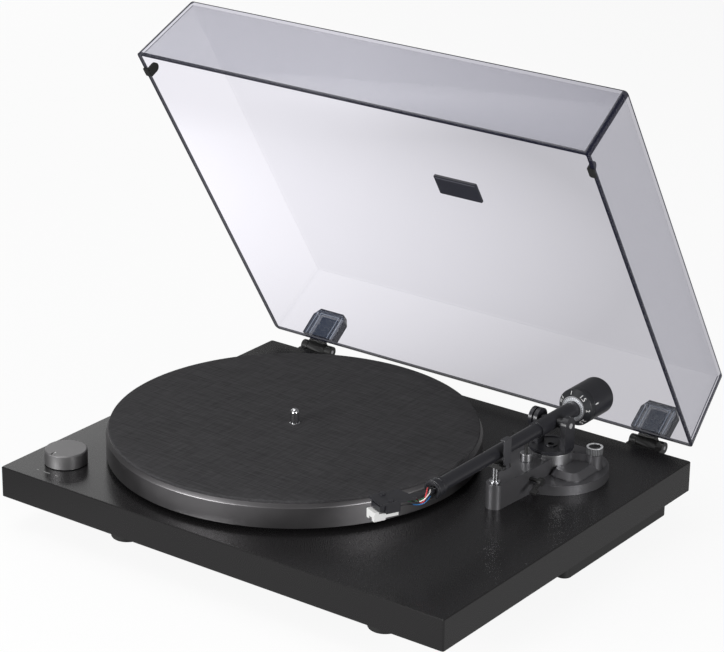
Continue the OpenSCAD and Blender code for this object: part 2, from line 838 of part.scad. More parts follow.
module turret_collar() {
  color([0.55, 0.55, 0.56]) at_pivot() translate([0, 0, pedestal_top + seat])
    tube(turret_r, 8, collar_top - pedestal_top - seat);
}

module lift_housing() {
  color([0.5, 0.5, 0.51]) at_pivot() translate([lift_x, lift_y, column_h + seat])
    tube(lift_r, piston_r + run, 6.5);
}

// ---------------------------------------------------------------- arm lift and rest

lift_bar_r = 1.4;
bar_z = arm_z - tube_r - lift_travel - lift_bar_r;
lift_arc_r = norm([lift_x, lift_y]);

module lift_piston() {
  start = atan2(lift_y, lift_x);
  color([0.08, 0.08, 0.08]) at_pivot() {
    translate([lift_x, lift_y, 8]) cylinder(r = piston_r, h = bar_z - 8);
    translate([0, 0, bar_z - lift_bar_r]) rotate(start - 42) rotate_extrude(angle = 42)
      translate([lift_arc_r - lift_bar_r, 0]) square(2 * lift_bar_r);
    translate([lift_x, lift_y, bar_z - lift_bar_r - 0.6]) cylinder(r = 2, h = lift_bar_r + 1.2);
  }
}

module cue_lever() {
  color([0.06, 0.06, 0.06]) at_pivot() translate([0, lever_y, lever_z]) {
    along_x(1.5, 4, lever_x + 0.1);
    along_x(3.4, lever_x, lever_x + 3);
    translate([lever_x + 0.3, 0, 0]) rotate([18, 0, 0]) translate([0, -10.5, -1.2]) cube([2.4, 10, 2.4]);
    translate([lever_x + 0.3, 0, 0]) rotate([18, 0, 0]) translate([0, -15, -0.9]) cube([5.5, 5, 1.8]);
  }
}

post_top = 34;
rest_x = column_reach * sin(rest_yaw);

module rest_post() {
  color([0.8, 0.8, 0.82]) at_pivot() translate([0, -column_reach, 0]) {
    translate([0, 0, 9]) cylinder(r = 1.5, h = column_h - 8.9);
    translate([0, 0, column_h]) cylinder(r = 4.3, h = 1.4);
    translate([0, 0, column_h + 1.3]) cylinder(r = 2.6, h = post_top - column_h - 1.3);
  }
}

tube_at_rest = arm_z + column_reach * sin(rest_pitch);
cradle_floor = tube_at_rest - tube_r - 2.1;
cradle_in = -tube_r - 1;
cradle_out = tube_r - 0.5;
clip_axis_x = tube_r + 3.5;
clip_axis_z = post_top + 2.2;

module arm_rest() {
  color([0.05, 0.05, 0.05]) at_pivot() translate([rest_x, -column_reach, 0]) difference() {
    union() {
      translate([cradle_in - 1.6, -4.5, post_top]) cube([cradle_out - cradle_in + 1.6, 9, cradle_floor - post_top]);
      translate([cradle_in - 1.6, -4.5, cradle_floor - 0.1]) cube([1.6, 9, 1.5]);
      translate([cradle_out - 1.2, -4.5, cradle_floor - 0.1]) cube([1.2, 9, 1.5]);
      translate([clip_axis_x, 0, clip_axis_z]) along_y(1.7, -4.5, 4.5);
      translate([cradle_out - 0.1, -4.5, clip_axis_z - 1.7]) cube([clip_axis_x - cradle_out + 0.1, 9, 3]);
    }
    translate([clip_axis_x, 0, clip_axis_z]) along_y(0.8 + seat, -8, 8);
    translate([clip_axis_x - 2, -2.6, post_top + 0.3]) cube([far, 5.2, 8]);
  }
}

module arm_clip() {
  top = 59.8;
  color([0.08, 0.08, 0.08]) at_pivot() translate([rest_x, -column_reach, 0]) {
    translate([clip_axis_x, 0, clip_axis_z]) along_y(0.8 - run, -4.5, 4.5);
    translate([clip_axis_x, 0, clip_axis_z]) along_y(1.7, -2.3, 2.3);
    translate([clip_axis_x - 0.2, -2.3, clip_axis_z]) cube([1.6, 4.6, 6]);
    translate([clip_axis_x - 0.2, -4.5, clip_axis_z + 3]) cube([1.6, 9, top - clip_axis_z - 3]);
    translate([clip_axis_x - 3.2, -4.5, top - 1.2]) cube([3.2, 9, 1.2]);
  }
}

module anti_skate_knob() {
  color([0.25, 0.25, 0.25]) at_pivot() translate([boss_x, boss_y, 0]) difference() {
    union() {
      translate([0, 0, 8]) cylinder(r = 2, h = column_h + gap - 7.9);
      translate([0, 0, column_h + gap]) cylinder(r = skate_r, h = 6);
    }
    translate([0, 0, column_h + gap + 5]) cylinder(r = skate_r - 1.8, h = 2);
  }
}

// ---------------------------------------------------------------- yoke and arm

ear_in = housing_r + 5.4;
ear_t = 5;
disc_in = housing_r + 2.9;
disc_t = 8;
yoke_t = 2.6;

module yaw_post() {
  color([0.75, 0.75, 0.77]) on_yoke() translate([0, 0, -10]) difference() {
    cylinder(r = yaw_r, h = yoke_foot + 10);
    translate([0, 0, -1]) cylinder(r = 2.6, h = far);
  }
}

module yoke() {
  color([0.07, 0.07, 0.075]) on_yoke() difference() {
    union() {
      translate([0, 0, yoke_foot]) cylinder(r = turret_r - 0.4, h = yoke_t);
      translate([0, 0, yoke_foot + 0.9]) cylinder(r = turret_r + 0.3, h = 0.9);
      translate([ear_in, -7, yoke_foot + 1]) cube([ear_t, 14, arm_z - yoke_foot - 1]);
      translate([0, 0, arm_z]) along_x(7, ear_in, ear_in + ear_t);
      translate([-disc_in - 4, -5, yoke_foot + 1]) cube([4, 10, arm_z - yoke_foot - 1]);
      translate([0, 0, arm_z]) along_x(8.2, -disc_in - disc_t, -disc_in);
    }
    translate([0, 0, arm_z]) along_x(1.8 + seat, -far, far);
    translate([0, 0, yoke_foot - 1]) cylinder(r = 2.6, h = far);
    translate([0, 0, yoke_foot + yoke_t - 0.8]) difference() {
      cylinder(r = turret_r - 2.6, h = far);
      translate([ear_in, -7, -1]) cube([far, 14, far]);
      translate([0, 0, arm_z - yoke_foot - yoke_t + 0.8]) along_x(7, ear_in, far);
      translate([-far, -5, -1]) cube([far - disc_in, 10, far]);
      translate([0, 0, arm_z - yoke_foot - yoke_t + 0.8]) along_x(8.2, -far, -disc_in);
      cylinder(r = 5, h = 1);
    }
    translate([0, 0, arm_z]) difference() {
      along_x(9, -disc_in - 4.8, -disc_in - 3.2);
      along_x(6.8, -disc_in - 5, -disc_in - 3);
    }
  }
}

module pivot_screws() {
  color([0.8, 0.8, 0.82]) on_yoke() translate([0, 0, arm_z]) {
    along_x(1.8, ear_in, ear_in + ear_t);
    along_x(2.2, ear_in + ear_t, ear_in + ear_t + 0.7);
    along_x(1.2, housing_r - 1, ear_in + 0.1);
    along_x(1.8, -disc_in - disc_t, -disc_in);
    along_x(1.2, -disc_in - 0.1, -housing_r + 1);
  }
}

housing_front = 22.5;
housing_back = 31;

module pivot_housing() {
  color([0.08, 0.08, 0.085]) on_arm() difference() {
    union() {
      along_y(housing_r, -housing_front, housing_back);
      along_y(housing_r + 0.3, -housing_front - 1, -housing_front + 0.4);
      along_x(3.8, -disc_in + 0.5, ear_in - 0.5);
      along_y(4, housing_back - 1, housing_back + weight_len - 2);
    }
    along_x(1.2 + run, -far, far);
    along_y(tube_r + seat, -far, -10);
  }
}

module arm_tube() {
  color([0.07, 0.07, 0.075]) on_arm() difference() {
    along_y(tube_r, -tube_end, -10.1);
    along_y(tube_r - tube_wall, -tube_end - 1, -9);
  }
}

collar_len = 11;

module head_collar() {
  color([0.06, 0.06, 0.065]) on_arm() difference() {
    union() {
      along_y(tube_r + 1.4, -tube_end - 0.7, -tube_end + collar_len);
      along_y(tube_r + 2, -tube_end + 0.6, -tube_end + 3.6);
      along_y(tube_r + 1.8, -tube_end + collar_len - 4, -tube_end + collar_len - 2);
    }
    along_y(tube_r + seat, -far, far);
  }
}

// A point of the cartridge's frame, given in the arm's frame
function head_at(x, y) = [
  -head_shift + x * cos(head_angle) + y * sin(head_angle),
  -screw_line - x * sin(head_angle) + y * cos(head_angle)];

shell_t = 2;
shell_front = 9.9;
shell_hw = 9.5;

// The headshell's plate, in the arm's frame, with its neck inside the tube's mouth
module headshell() {
  color([0.08, 0.08, 0.085]) difference() {
    union() {
      on_head() translate([0, 0, -shell_t / 2]) linear_extrude(shell_t)
        polygon([[-shell_hw, -shell_front], [shell_hw, -shell_front], [shell_hw, 20], [-shell_hw, 15]]);
      on_arm() translate([0, 0, -shell_t / 2]) linear_extrude(shell_t)
        polygon([head_at(2, 16), head_at(8.5, 16), [2.6, -tube_end - 8], [2.6, -tube_end + 1],
          [-2.6, -tube_end + 1], [-2.6, -tube_end - 8]]);
      on_arm() along_y(tube_r - tube_wall - 0.1, -tube_end + 1, -tube_end + 8);
    }
    on_head() for (sx = [-1, 1]) translate([sx * 6.35, 0, -5]) cylinder(r = 1.3, h = 10);
    on_arm() along_y(2.8, -tube_end + 3, far);
    on_arm() for (dx = [-1.4, 1.4], dz = [-2.4, 2.4]) translate([dx, 0, dz]) along_y(0.9, -tube_end, -tube_end + 6);
  }
}

module headshell_screws() {
  color([0.1, 0.1, 0.1]) on_head() for (sx = [-1, 1]) translate([sx * 6.35, 0, 0]) {
    translate([0, 0, shell_t / 2]) cylinder(r = 2.2, h = 1.5);
    translate([0, 0, -5]) cylinder(r = 1.2, h = 6.1);
  }
}

body_foot = -8.2;

module cartridge_body() {
  color([0.06, 0.06, 0.065]) on_head() difference() {
    union() {
      translate([-8.5, -5, body_foot]) cube([17, 12, -shell_t / 2 - body_foot]);
      translate([-6.5, -9.5, -6.2]) cube([13, 8, 4]);
      for (sx = [-1, 1], up = [0, 1]) translate([sx * 3.2, 7, -6.5 + 3 * up]) along_y(0.6, -1, 4);
    }
    for (sx = [-1, 1]) translate([sx * 6.35, 0, -6]) cylinder(r = 1.2 + seat, h = 12);
  }
}

module stylus_holder() {
  color([0.92, 0.92, 0.92]) on_head() difference() {
    union() {
      translate([-5.8, -13.8, -14]) cube([11.6, 4, 7.4]);
      translate([-5.8, -10, -14]) cube([11.6, 6, 5.6]);
      translate([-5.8, -5, -12.4]) cube([11.6, 12, 4]);
    }
    translate([-2, -15, -15]) cube([4, 7, 3.4]);
  }
}

module stylus_cantilever() {
  color([0.8, 0.8, 0.82]) on_head() {
    translate([0, -8.2, -12.6]) rotate([14, 0, 0]) along_y(0.3, -3.6, 0.1);
    translate([0, -11.3, -14.6]) cylinder(r1 = 0.12, r2 = 0.35, h = 1.2);
  }
}

// Four short leads from the tube's mouth to the cartridge's pins
lead_r = 0.5;
pin_end = 11.02;
function lead_end(x, z) = [[each head_at(x, pin_end + 4), z], [each head_at(x, pin_end), z]];
lead_paths = [
  concat([[1.4, -tube_end + 3, 2.4], [1.8, -tube_end - 4, 2.8], [4.4, -tube_end - 11, 1.6],
    [2.4, -tube_end - 17.5, -2]], lead_end(3.2, -3.5)),
  concat([[-1.4, -tube_end + 3, 2.4], [-0.4, -tube_end - 5, 3.6], [3.2, -tube_end - 12, 2.8],
    [2.8, -tube_end - 16, -3.4], [-5, -tube_end - 14, -3.8]], lead_end(-3.2, -3.5)),
  concat([[1.4, -tube_end + 3, -2.4], [2.2, -tube_end - 5, -2.6], [1.6, -tube_end - 14, -5.6]],
    lead_end(3.2, -6.5)),
  concat([[-1.4, -tube_end + 3, -2.4], [-0.8, -tube_end - 5, -3.2], [-5, -tube_end - 11, -6.2]],
    lead_end(-3.2, -6.5))];

function smooth(p, t) = let (
    n = len(p) - 1, i = min(floor(t * n), n - 1), u = t * n - i,
    a = p[max(i - 1, 0)], b = p[i], c = p[i + 1], d = p[min(i + 2, n)])
  0.5 * (2 * b + (c - a) * u + (2 * a - 5 * b + 4 * c - d) * u * u + (3 * b - a - 3 * c + d) * u * u * u);

function ring(p, t, r, sides) = let (
    here = smooth(p, t), ahead = smooth(p, min(t + 0.01, 1)) - smooth(p, max(t - 0.01, 0)),
    f = ahead / norm(ahead), side = cross(f, [0, 0, 1]), s = side / norm(side), u = cross(s, f))
  [for (k = [0:sides - 1]) here + r * cos(360 * k / sides) * s + r * sin(360 * k / sides) * u];

module swept(p, r, rings, sides) {
  pts = [for (i = [0:rings]) each ring(p, i / rings, r, sides)];
  walls = [for (i = [0:rings - 1], k = [0:sides - 1]) let (m = (k + 1) % sides)
    [i * sides + k, (i + 1) * sides + k, (i + 1) * sides + m, i * sides + m]];
  polyhedron(pts, concat(walls, [[for (k = [0:sides - 1]) k]],
    [[for (k = [sides - 1:-1:0]) rings * sides + k]]));
}

module head_leads() {
  color([0.8, 0.3, 0.3]) on_arm() for (p = lead_paths) swept(p, lead_r, 14, 8);
}

// ---------------------------------------------------------------- counterweight

hub_front = housing_back + 0.4;
dial_t = 9;
dial_cone = 4;
silver_r = 9.3;

module counterweight() {
  body_y = hub_front + dial_t + 0.3;
  color([0.06, 0.06, 0.065]) on_arm() difference() {
    union() {
      along_y(weight_r, body_y, body_y + weight_len - 1.5);
      translate([0, body_y + weight_len - 1.5, 0]) rotate([-90, 0, 0])
        cylinder(r1 = weight_r, r2 = weight_r - 1.5, h = 1.5);
      along_y(silver_r, hub_front - 0.4, body_y + 1);
    }
    along_y(4 + run, -far, far);
    along_y(housing_r + gap, -far, hub_front + 0.4);
  }
}

module tracking_dial() {
  color([0.08, 0.08, 0.085]) on_arm() difference() {
    union() {
      translate([0, hub_front, 0]) rotate([-90, 0, 0])
        cylinder(r1 = silver_r + 1.2, r2 = weight_r, h = dial_cone);
      along_y(weight_r, hub_front + dial_cone, hub_front + dial_t);
    }
    along_y(silver_r + run, -far, far);
  }
}

plinth();
bottom_pan();
pan_screws();
front_foot_blocks();
feet();
bearing_housing();
thrust_ball();
motor();
motor_plate();
motor_grommets();
motor_screws();
drive_belt();
circuit_board();
board_screws();
phono_sockets();
ground_post();
dc_inlet();
switch_frame();
speed_switch();
hinge_brackets();
hinge_pins();
hinge_screws();
arm_base();
arm_cover();
turret_collar();
lift_housing();
rest_post();
arm_rest();
spindle();
sub_platter();
platter();
slip_mat();
motor_shaft();
motor_pulley();
speed_knob();
knob_shaft();
dust_cover();
cover_sockets();
hinge_leaves();
cover_bumpers();
badge_plate();
yaw_post();
yoke();
pivot_screws();
pivot_housing();
arm_tube();
head_collar();
headshell();
headshell_screws();
cartridge_body();
stylus_holder();
stylus_cantilever();
head_leads();
counterweight();
tracking_dial();
anti_skate_knob();
cue_lever();
lift_piston();
arm_clip();
line_switch();
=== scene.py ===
"""Looks of a record turntable with an open smoked dust cover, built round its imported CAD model."""

import json
import math

import bmesh
import bpy
from mathutils import Matrix, Vector


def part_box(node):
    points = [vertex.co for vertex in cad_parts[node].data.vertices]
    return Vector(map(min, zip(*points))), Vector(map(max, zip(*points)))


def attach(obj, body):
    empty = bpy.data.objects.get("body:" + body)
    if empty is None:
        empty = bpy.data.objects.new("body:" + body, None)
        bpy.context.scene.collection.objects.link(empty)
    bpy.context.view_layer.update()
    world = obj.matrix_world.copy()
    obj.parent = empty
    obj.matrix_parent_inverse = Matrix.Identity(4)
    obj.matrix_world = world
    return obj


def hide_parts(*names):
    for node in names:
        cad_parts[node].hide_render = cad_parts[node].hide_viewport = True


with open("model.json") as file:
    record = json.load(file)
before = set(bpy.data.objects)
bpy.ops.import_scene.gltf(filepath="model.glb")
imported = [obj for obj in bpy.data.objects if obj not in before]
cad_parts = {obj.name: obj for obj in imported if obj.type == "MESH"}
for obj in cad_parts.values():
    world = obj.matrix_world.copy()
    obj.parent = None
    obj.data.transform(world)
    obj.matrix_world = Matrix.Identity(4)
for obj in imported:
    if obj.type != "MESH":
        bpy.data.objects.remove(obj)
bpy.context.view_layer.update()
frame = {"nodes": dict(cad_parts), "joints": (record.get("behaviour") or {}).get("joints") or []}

bl_info = {
    "name": "Record Turntable",
    "version": (1, 0, 0),
    "blender": (4, 5, 0),
    "location": "View3D > Sidebar > Turntable",
    "description": "Finishes, printed marks, dust cover and stage for a record turntable",
    "category": "Object",
}

MM = 0.001
JOINTS = {joint["name"]: joint for joint in frame["joints"]}
SPINDLE = Vector(JOINTS["platter_spin"]["pos_m"])
HINGE = Vector(JOINTS["lid_hinge"]["pos_m"])
KNOB = Vector(JOINTS["speed_select"]["pos_m"])
PIVOT = Vector(JOINTS["arm_lift"]["pos_m"])
SKATE = Vector(JOINTS["skate_turn"]["pos_m"])
UP = (0, 0, 1)
PLINTH_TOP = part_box("plinth")[1].z
MAT_LOW, MAT_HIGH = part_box("slip_mat")
ACRYLIC_IOR = 1.49

# The arm's own axes: across it, along it towards the weight, and up
ARM_BACK = Vector(JOINTS["weight_turn"]["axis"]).normalized()
ARM_SIDE = -Vector(JOINTS["arm_lift"]["axis"]).normalized()
ARM_UP = ARM_SIDE.cross(ARM_BACK).normalized()
ARM = Matrix.Translation(PIVOT) @ Matrix((ARM_SIDE, ARM_BACK, ARM_UP)).transposed().to_4x4()


# ---------------------------------------------------------------- settings


def length(name, text, default):
    return bpy.props.FloatProperty(
        name=name, description=text, default=default, unit="LENGTH", precision=4)


def turn(name, text, default):
    return bpy.props.FloatProperty(
        name=name, description=text, default=math.radians(default), subtype="ANGLE", unit="ROTATION")


def colour(name, text, default):
    return bpy.props.FloatVectorProperty(
        name=name, description=text, default=default, size=3, min=0, max=1, subtype="COLOR")


def share(name, text, default):
    return bpy.props.FloatProperty(
        name=name, description=text, default=default, min=0, max=1, subtype="FACTOR")


class CoverSettings(bpy.types.PropertyGroup):
    """Sizes of the dust cover, counted from its hinge axis with the cover closed."""

    half_width: length("Half width", "Half the cover's width at its rim", 213.8 * MM)
    front: length("Front", "Distance from the hinge axis to the rim's front", 355.7 * MM)
    rear: length("Rear", "Distance from the hinge axis to the rim's back", 10.4 * MM)
    rim: length("Rim height", "Height of the rim above the hinge axis", 1.7 * MM)
    height: length("Height", "Height of the cover's skirt", 68.8 * MM)
    draft: length("Draft", "How far each side leans in over the height", 5.8 * MM)
    lean_front: length("Front lean", "How far the front leans in over the height", 5.0 * MM)
    lean_rear: length("Rear lean", "How far the back leans in over the height", 7.6 * MM)
    wall: length("Wall", "Thickness of the sheet", 3.0 * MM)
    corner: length("Corner", "Radius of the upright corners", 4.0 * MM)
    edge: length("Edge", "Radius of the top's edges", 2.2 * MM)
    band: length("Band", "Height of the darker band along the rim", 1.4 * MM)
    smoke: colour("Smoke", "Tint of the clear sheet", (0.24, 0.245, 0.33))
    edge_tint: colour("Edge tint", "Tint of the sheet seen through its edges", (0.008, 0.009, 0.024))
    haze: share("Haze", "Share of light that one face of the sheet holds back", 0.05)
    # The walls are one sheet: their different hazes are painted light on the left and back wall and painted
    # shade on the right and front wall
    far_haze_and_light: share("Far haze", "The same for the left and the back wall", 0.02)
    side_haze_and_shade: share("Side haze", "The same for the right wall", 0.09)
    front_haze_and_shade: share("Front haze", "The same for the front wall", 0.26)


class FinishSettings(bpy.types.PropertyGroup):
    """Colours of the finishes."""

    plinth: colour("Plinth", "Satin black foil", (0.012, 0.0115, 0.012))
    platter: colour("Platter", "Turned dark metal", (0.175, 0.17, 0.175))
    mat: colour("Mat", "Woven dark felt", (0.050, 0.049, 0.0515))
    base: colour("Arm base", "Satin dark grey", (0.15, 0.148, 0.156))
    silver: colour("Silver", "Satin silver of the turret", (0.46, 0.46, 0.47))
    black: colour("Black parts", "Satin black of the arm", (0.022, 0.022, 0.026))
    print_white: colour("Print", "Printed marks and numbers", (0.80, 0.80, 0.80))


class StageSettings(bpy.types.PropertyGroup):
    """Place and lens of the camera."""

    azimuth: turn("Azimuth", "Direction of the camera round the object", 36.27)
    elevation: turn("Elevation", "Height of the camera above the horizon", 21.34)
    roll: turn("Roll", "Tilt of the camera about its own axis", 0.69)
    distance: length("Distance", "From the camera to its target", 2.2277)
    lens: bpy.props.FloatProperty(
        name="Lens", description="Focal length on a 36 mm film", default=134.4, unit="CAMERA")
    target: bpy.props.FloatVectorProperty(
        name="Target", description="Point that the camera looks at",
        default=(-0.05056, 0.05604, 0.132), size=3, subtype="TRANSLATION")


# ---------------------------------------------------------------- shader sums


class Value:
    """A shader socket that can stand in an ordinary Python sum."""

    def __init__(self, finish, socket):
        self.finish, self.socket = finish, socket

    def _math(self, operation, a, b=None):
        values = [a] if b is None else [a, b]
        return self.finish.node("ShaderNodeMath", {"operation": operation}, dict(enumerate(values)))

    def __add__(self, other):
        return self._math("ADD", self, other)

    def __radd__(self, other):
        return self._math("ADD", other, self)

    def __sub__(self, other):
        return self._math("SUBTRACT", self, other)

    def __rsub__(self, other):
        return self._math("SUBTRACT", other, self)

    def __mul__(self, other):
        return self._math("MULTIPLY", self, other)

    def __rmul__(self, other):
        return self._math("MULTIPLY", other, self)

    def __pow__(self, other):
        return self._math("POWER", self, other)

    def __lt__(self, other):
        return self._math("LESS_THAN", self, other)

    def __gt__(self, other):
        return self._math("GREATER_THAN", self, other)

    def sine(self):
        return self._math("SINE", self)

    def size(self):
        return self._math("ABSOLUTE", self)

    def between(self, low, high):
        """Held between two limits."""
        return self.finish.node("ShaderNodeClamp", None, {"Value": self, "Min": low, "Max": high})


class Finish:
    """A material that is being put together round one Principled shader."""

    def __init__(self, name, shade=(0.5, 0.5, 0.5), **sockets):
        self.material = bpy.data.materials.new(name)
        self.material.use_nodes = True
        self.tree = self.material.node_tree
        self.shader = self.tree.nodes["Principled BSDF"]
        self.shader.inputs["Base Color"].default_value = (*shade, 1)
        for key, value in sockets.items():
            self.shader.inputs[key.replace("_", " ")].default_value = value

    def node(self, kind, settings=None, values=None, output=0):
        """Adds one node: its settings first, then the values or links of its sockets."""
        made = self.tree.nodes.new(kind)
        for key, value in (settings or {}).items():
            setattr(made, key, value)
        for key, value in (values or {}).items():
            if isinstance(value, Value):
                self.tree.links.new(value.socket, made.inputs[key])
            else:
                made.inputs[key].default_value = value
        return Value(self, made.outputs[output])

    def set(self, **links):
        """Links values to the Principled shader's sockets."""
        for key, value in links.items():
            self.tree.links.new(value.socket, self.shader.inputs[key.replace("_", " ")])
        return self

    def place(self, centre=(0, 0, 0), stretch=(1, 1, 1)):
        """Object coordinates, counted from a centre."""
        point = self.node("ShaderNodeTexCoord", output="Object")
        moved = tuple(-c * s for c, s in zip(centre, stretch))
        return self.node("ShaderNodeMapping", {"vector_type": "POINT"}, {
            "Vector": point, "Location": moved, "Scale": stretch})

    def noise(self, point, scale, detail=3, rough=0.5):
        return self.node("ShaderNodeTexNoise", None, {
            "Vector": point, "Scale": scale, "Detail": detail, "Roughness": rough})

    def blend(self, factor, a, b):
        """Between two colours, each either numbers or a value."""
        a, b = (shade if isinstance(shade, Value) else (*shade, 1) for shade in (a, b))
        return self.node("ShaderNodeMix", {"data_type": "RGBA"}, {0: factor, 6: a, 7: b}, 2)

    def vector(self, operation, *values, output=0):
        values = dict(enumerate(values))
        return self.node("ShaderNodeVectorMath", {"operation": operation}, values, output)

    def scaled(self, shade, factor):
        """A colour times a number."""
        return self.node("ShaderNodeVectorMath", {"operation": "SCALE"}, {0: shade, 3: factor})

    def ramp(self, value, start, end, low, high):
        """From low to high while the value runs from start to end."""
        return self.node("ShaderNodeMapRange", None, {"Value": value, 1: start, 2: end, 3: low, 4: high})

    def split(self, point, axis):
        """One coordinate of a point: 0 for x, 1 for y, 2 for z."""
        return self.node("ShaderNodeSeparateXYZ", None, {0: point}, axis)

    def towards(self, centre, axis):
        """How far a point lies from a centre, along a direction."""
        return self.vector("DOT_PRODUCT", self.place(centre), tuple(axis), output="Value")

    def bump(self, height, distance):
        normal = self.node("ShaderNodeBump", None, {
            "Height": height, "Distance": distance, "Strength": 1.0})
        return self.set(Normal=normal)

    def from_axis(self, centre, axis):
        """How far a point lies from a line through a centre."""
        across = self.vector("CROSS_PRODUCT", self.place(centre), tuple(axis))
        return self.vector("LENGTH", across, output="Value")


def scaled_shade(shade, factor):
    """A darker or lighter colour, held at white."""
    return tuple(min(1, factor * c) for c in shade)


def moulded(name, shade, roughness=0.45, grain=900, depth=0.00002, **sockets):
    """Moulded plastic or paint: fine grain and a slight change of gloss."""
    finish = Finish(name, shade, **sockets)
    point = finish.place()
    fine = finish.noise(point, grain)
    broad = finish.noise(point, 14)
    finish.set(Base_Color=finish.blend(broad, scaled_shade(shade, 0.86), scaled_shade(shade, 1.14)),
               Roughness=fine * 0.08 + broad * 0.08 + (roughness - 0.08))
    return finish.bump(fine, depth).material


def turned(name, shade, centre, roughness=0.34, depth=0.000006):
    """Metal that was turned on a lathe: fine rings round an upright axis."""
    wave_rate = 9000  # Radians per metre
    finish = Finish(name, shade, Metallic=1.0)
    outwards = finish.from_axis(centre, UP) + finish.towards(centre, UP)
    rings = (outwards * wave_rate).sine() * 0.5 + 0.5
    cloud = finish.noise(finish.place(), 40)
    finish.set(Base_Color=finish.blend(cloud, scaled_shade(shade, 0.88), shade),
               Roughness=cloud * 0.12 + (roughness - 0.06))
    return finish.bump(rings, depth).material


def foil(shade):
    """Satin foil on the plinth: an even, very fine pebble."""
    finish = Finish("plinth_foil", shade, Specular_IOR_Level=0.5)
    point = finish.place()
    pebble = finish.noise(point, 1400, 2)
    broad = finish.noise(point, 6)
    finish.set(Base_Color=finish.blend(broad, scaled_shade(shade, 0.9), scaled_shade(shade, 1.15)),
               Roughness=pebble * 0.06 + broad * 0.04 + 0.22)
    return finish.bump(pebble, 0.000003).material


def felt(shade):
    """Woven felt: threads one way and across, with loose fibres."""
    threads, drawn_out, contrast = 520, 0.07, 2.4
    finish = Finish("felt_weave", shade, Specular_IOR_Level=0.1)
    point = finish.place(SPINDLE)
    across = finish.place(SPINDLE, (drawn_out, 1, 1))
    along = finish.place(SPINDLE, (1, drawn_out, 1))
    weft = finish.noise(across, threads, 3, 0.7)
    warp = finish.noise(along, threads, 3, 0.7)
    fibre = finish.noise(point, 5 * threads, 2)
    cloud = finish.noise(point, 22, 4)
    thread = ((weft * 0.5 + warp * 0.35 + fibre * 0.15 - 0.5) * contrast + 0.5).between(0, 1)
    weave = thread * 0.85 + cloud * 0.15
    finish.set(Base_Color=finish.blend(weave, scaled_shade(shade, 0.45), scaled_shade(shade, 1.55)),
               Roughness=thread * 0.1 + 0.82)
    return finish.bump(thread, 0.00012).material


def smoked(name, shade, haze, slanted=0.3):
    """Clear smoked sheet: lets most light through, less where it is seen at a slant."""
    finish = Finish(name, shade, Roughness=0.06, IOR=ACRYLIC_IOR)
    slant = finish.node("ShaderNodeLayerWeight", None, {"Blend": 0.35}, "Facing")
    wear = finish.noise(finish.place(), 30)
    finish.set(Alpha=slant ** 3 * slanted + (haze - 0.005) + wear * 0.01,
               Roughness=wear * 0.05 + 0.04)
    return finish.material


def clear_edge(name, shade, alpha):
    """The sheet's edge, where light has run a long way through the tint."""
    finish = Finish(name, shade, Roughness=0.15, IOR=ACRYLIC_IOR, Specular_IOR_Level=0.6)
    polish = finish.noise(finish.place(), 400)
    finish.set(Alpha=polish * 0.06 + (alpha - 0.03), Roughness=polish * 0.2 + 0.1)
    return finish.material


def weight_finish(shade, silver):
    """Satin black weight whose front hub is bare satin silver."""
    hub_end = 40.4 * MM
    finish = Finish("weight_paint", shade)
    hub = finish.towards(PIVOT, ARM_BACK) < hub_end
    fine = finish.noise(finish.place(), 500)
    finish.set(Base_Color=finish.blend(hub, shade, silver), Metallic=hub * 0.4, Roughness=fine * 0.1 + 0.3)
    return finish.bump(fine, 0.00001).material


def dial_finish(shade, silver):
    """Black dial with a paler lip round its mouth."""
    lip_radius = 10.45 * MM
    finish = Finish("dial_paint", shade)
    lip = finish.from_axis(PIVOT, ARM_BACK) < lip_radius
    fine = finish.noise(finish.place(), 500)
    finish.set(Base_Color=finish.blend(lip * 0.5, shade, silver), Roughness=fine * 0.1 + 0.3)
    return finish.bump(fine, 0.00001).material


def ringed_knob(centre, top):
    """Ribbed dark knob with a bare silver ring round its top, and a painted highlight on the crests of its
    side ribs.
    """
    ribs, ring_deep = 30, 0.35 * MM
    ring_radius, side_radius = 4.8 * MM, 6.2 * MM
    dark, silver = (0.03, 0.03, 0.032), (0.75, 0.76, 0.78)
    finish = Finish("skate_knurl", Metallic=0.4)
    radius = finish.from_axis(centre, UP)
    point = finish.place(centre)
    angle = finish.node("ShaderNodeMath", {"operation": "ARCTAN2"}, {
        0: finish.split(point, 1), 1: finish.split(point, 0)})
    wave = (angle * ribs).sine() * 0.5 + 0.5
    ring = (finish.split(finish.place(), 2) > top - ring_deep) * (radius > ring_radius)
    sides = radius > side_radius
    # Painted highlight on the crests of the side ribs, plus the bare silver ring
    light = (wave * 0.35 * sides + ring).between(0, 1)
    finish.set(Base_Color=finish.blend(light, dark, silver), Roughness=wave * 0.1 + 0.3)
    return finish.bump(wave, 0.0002).material


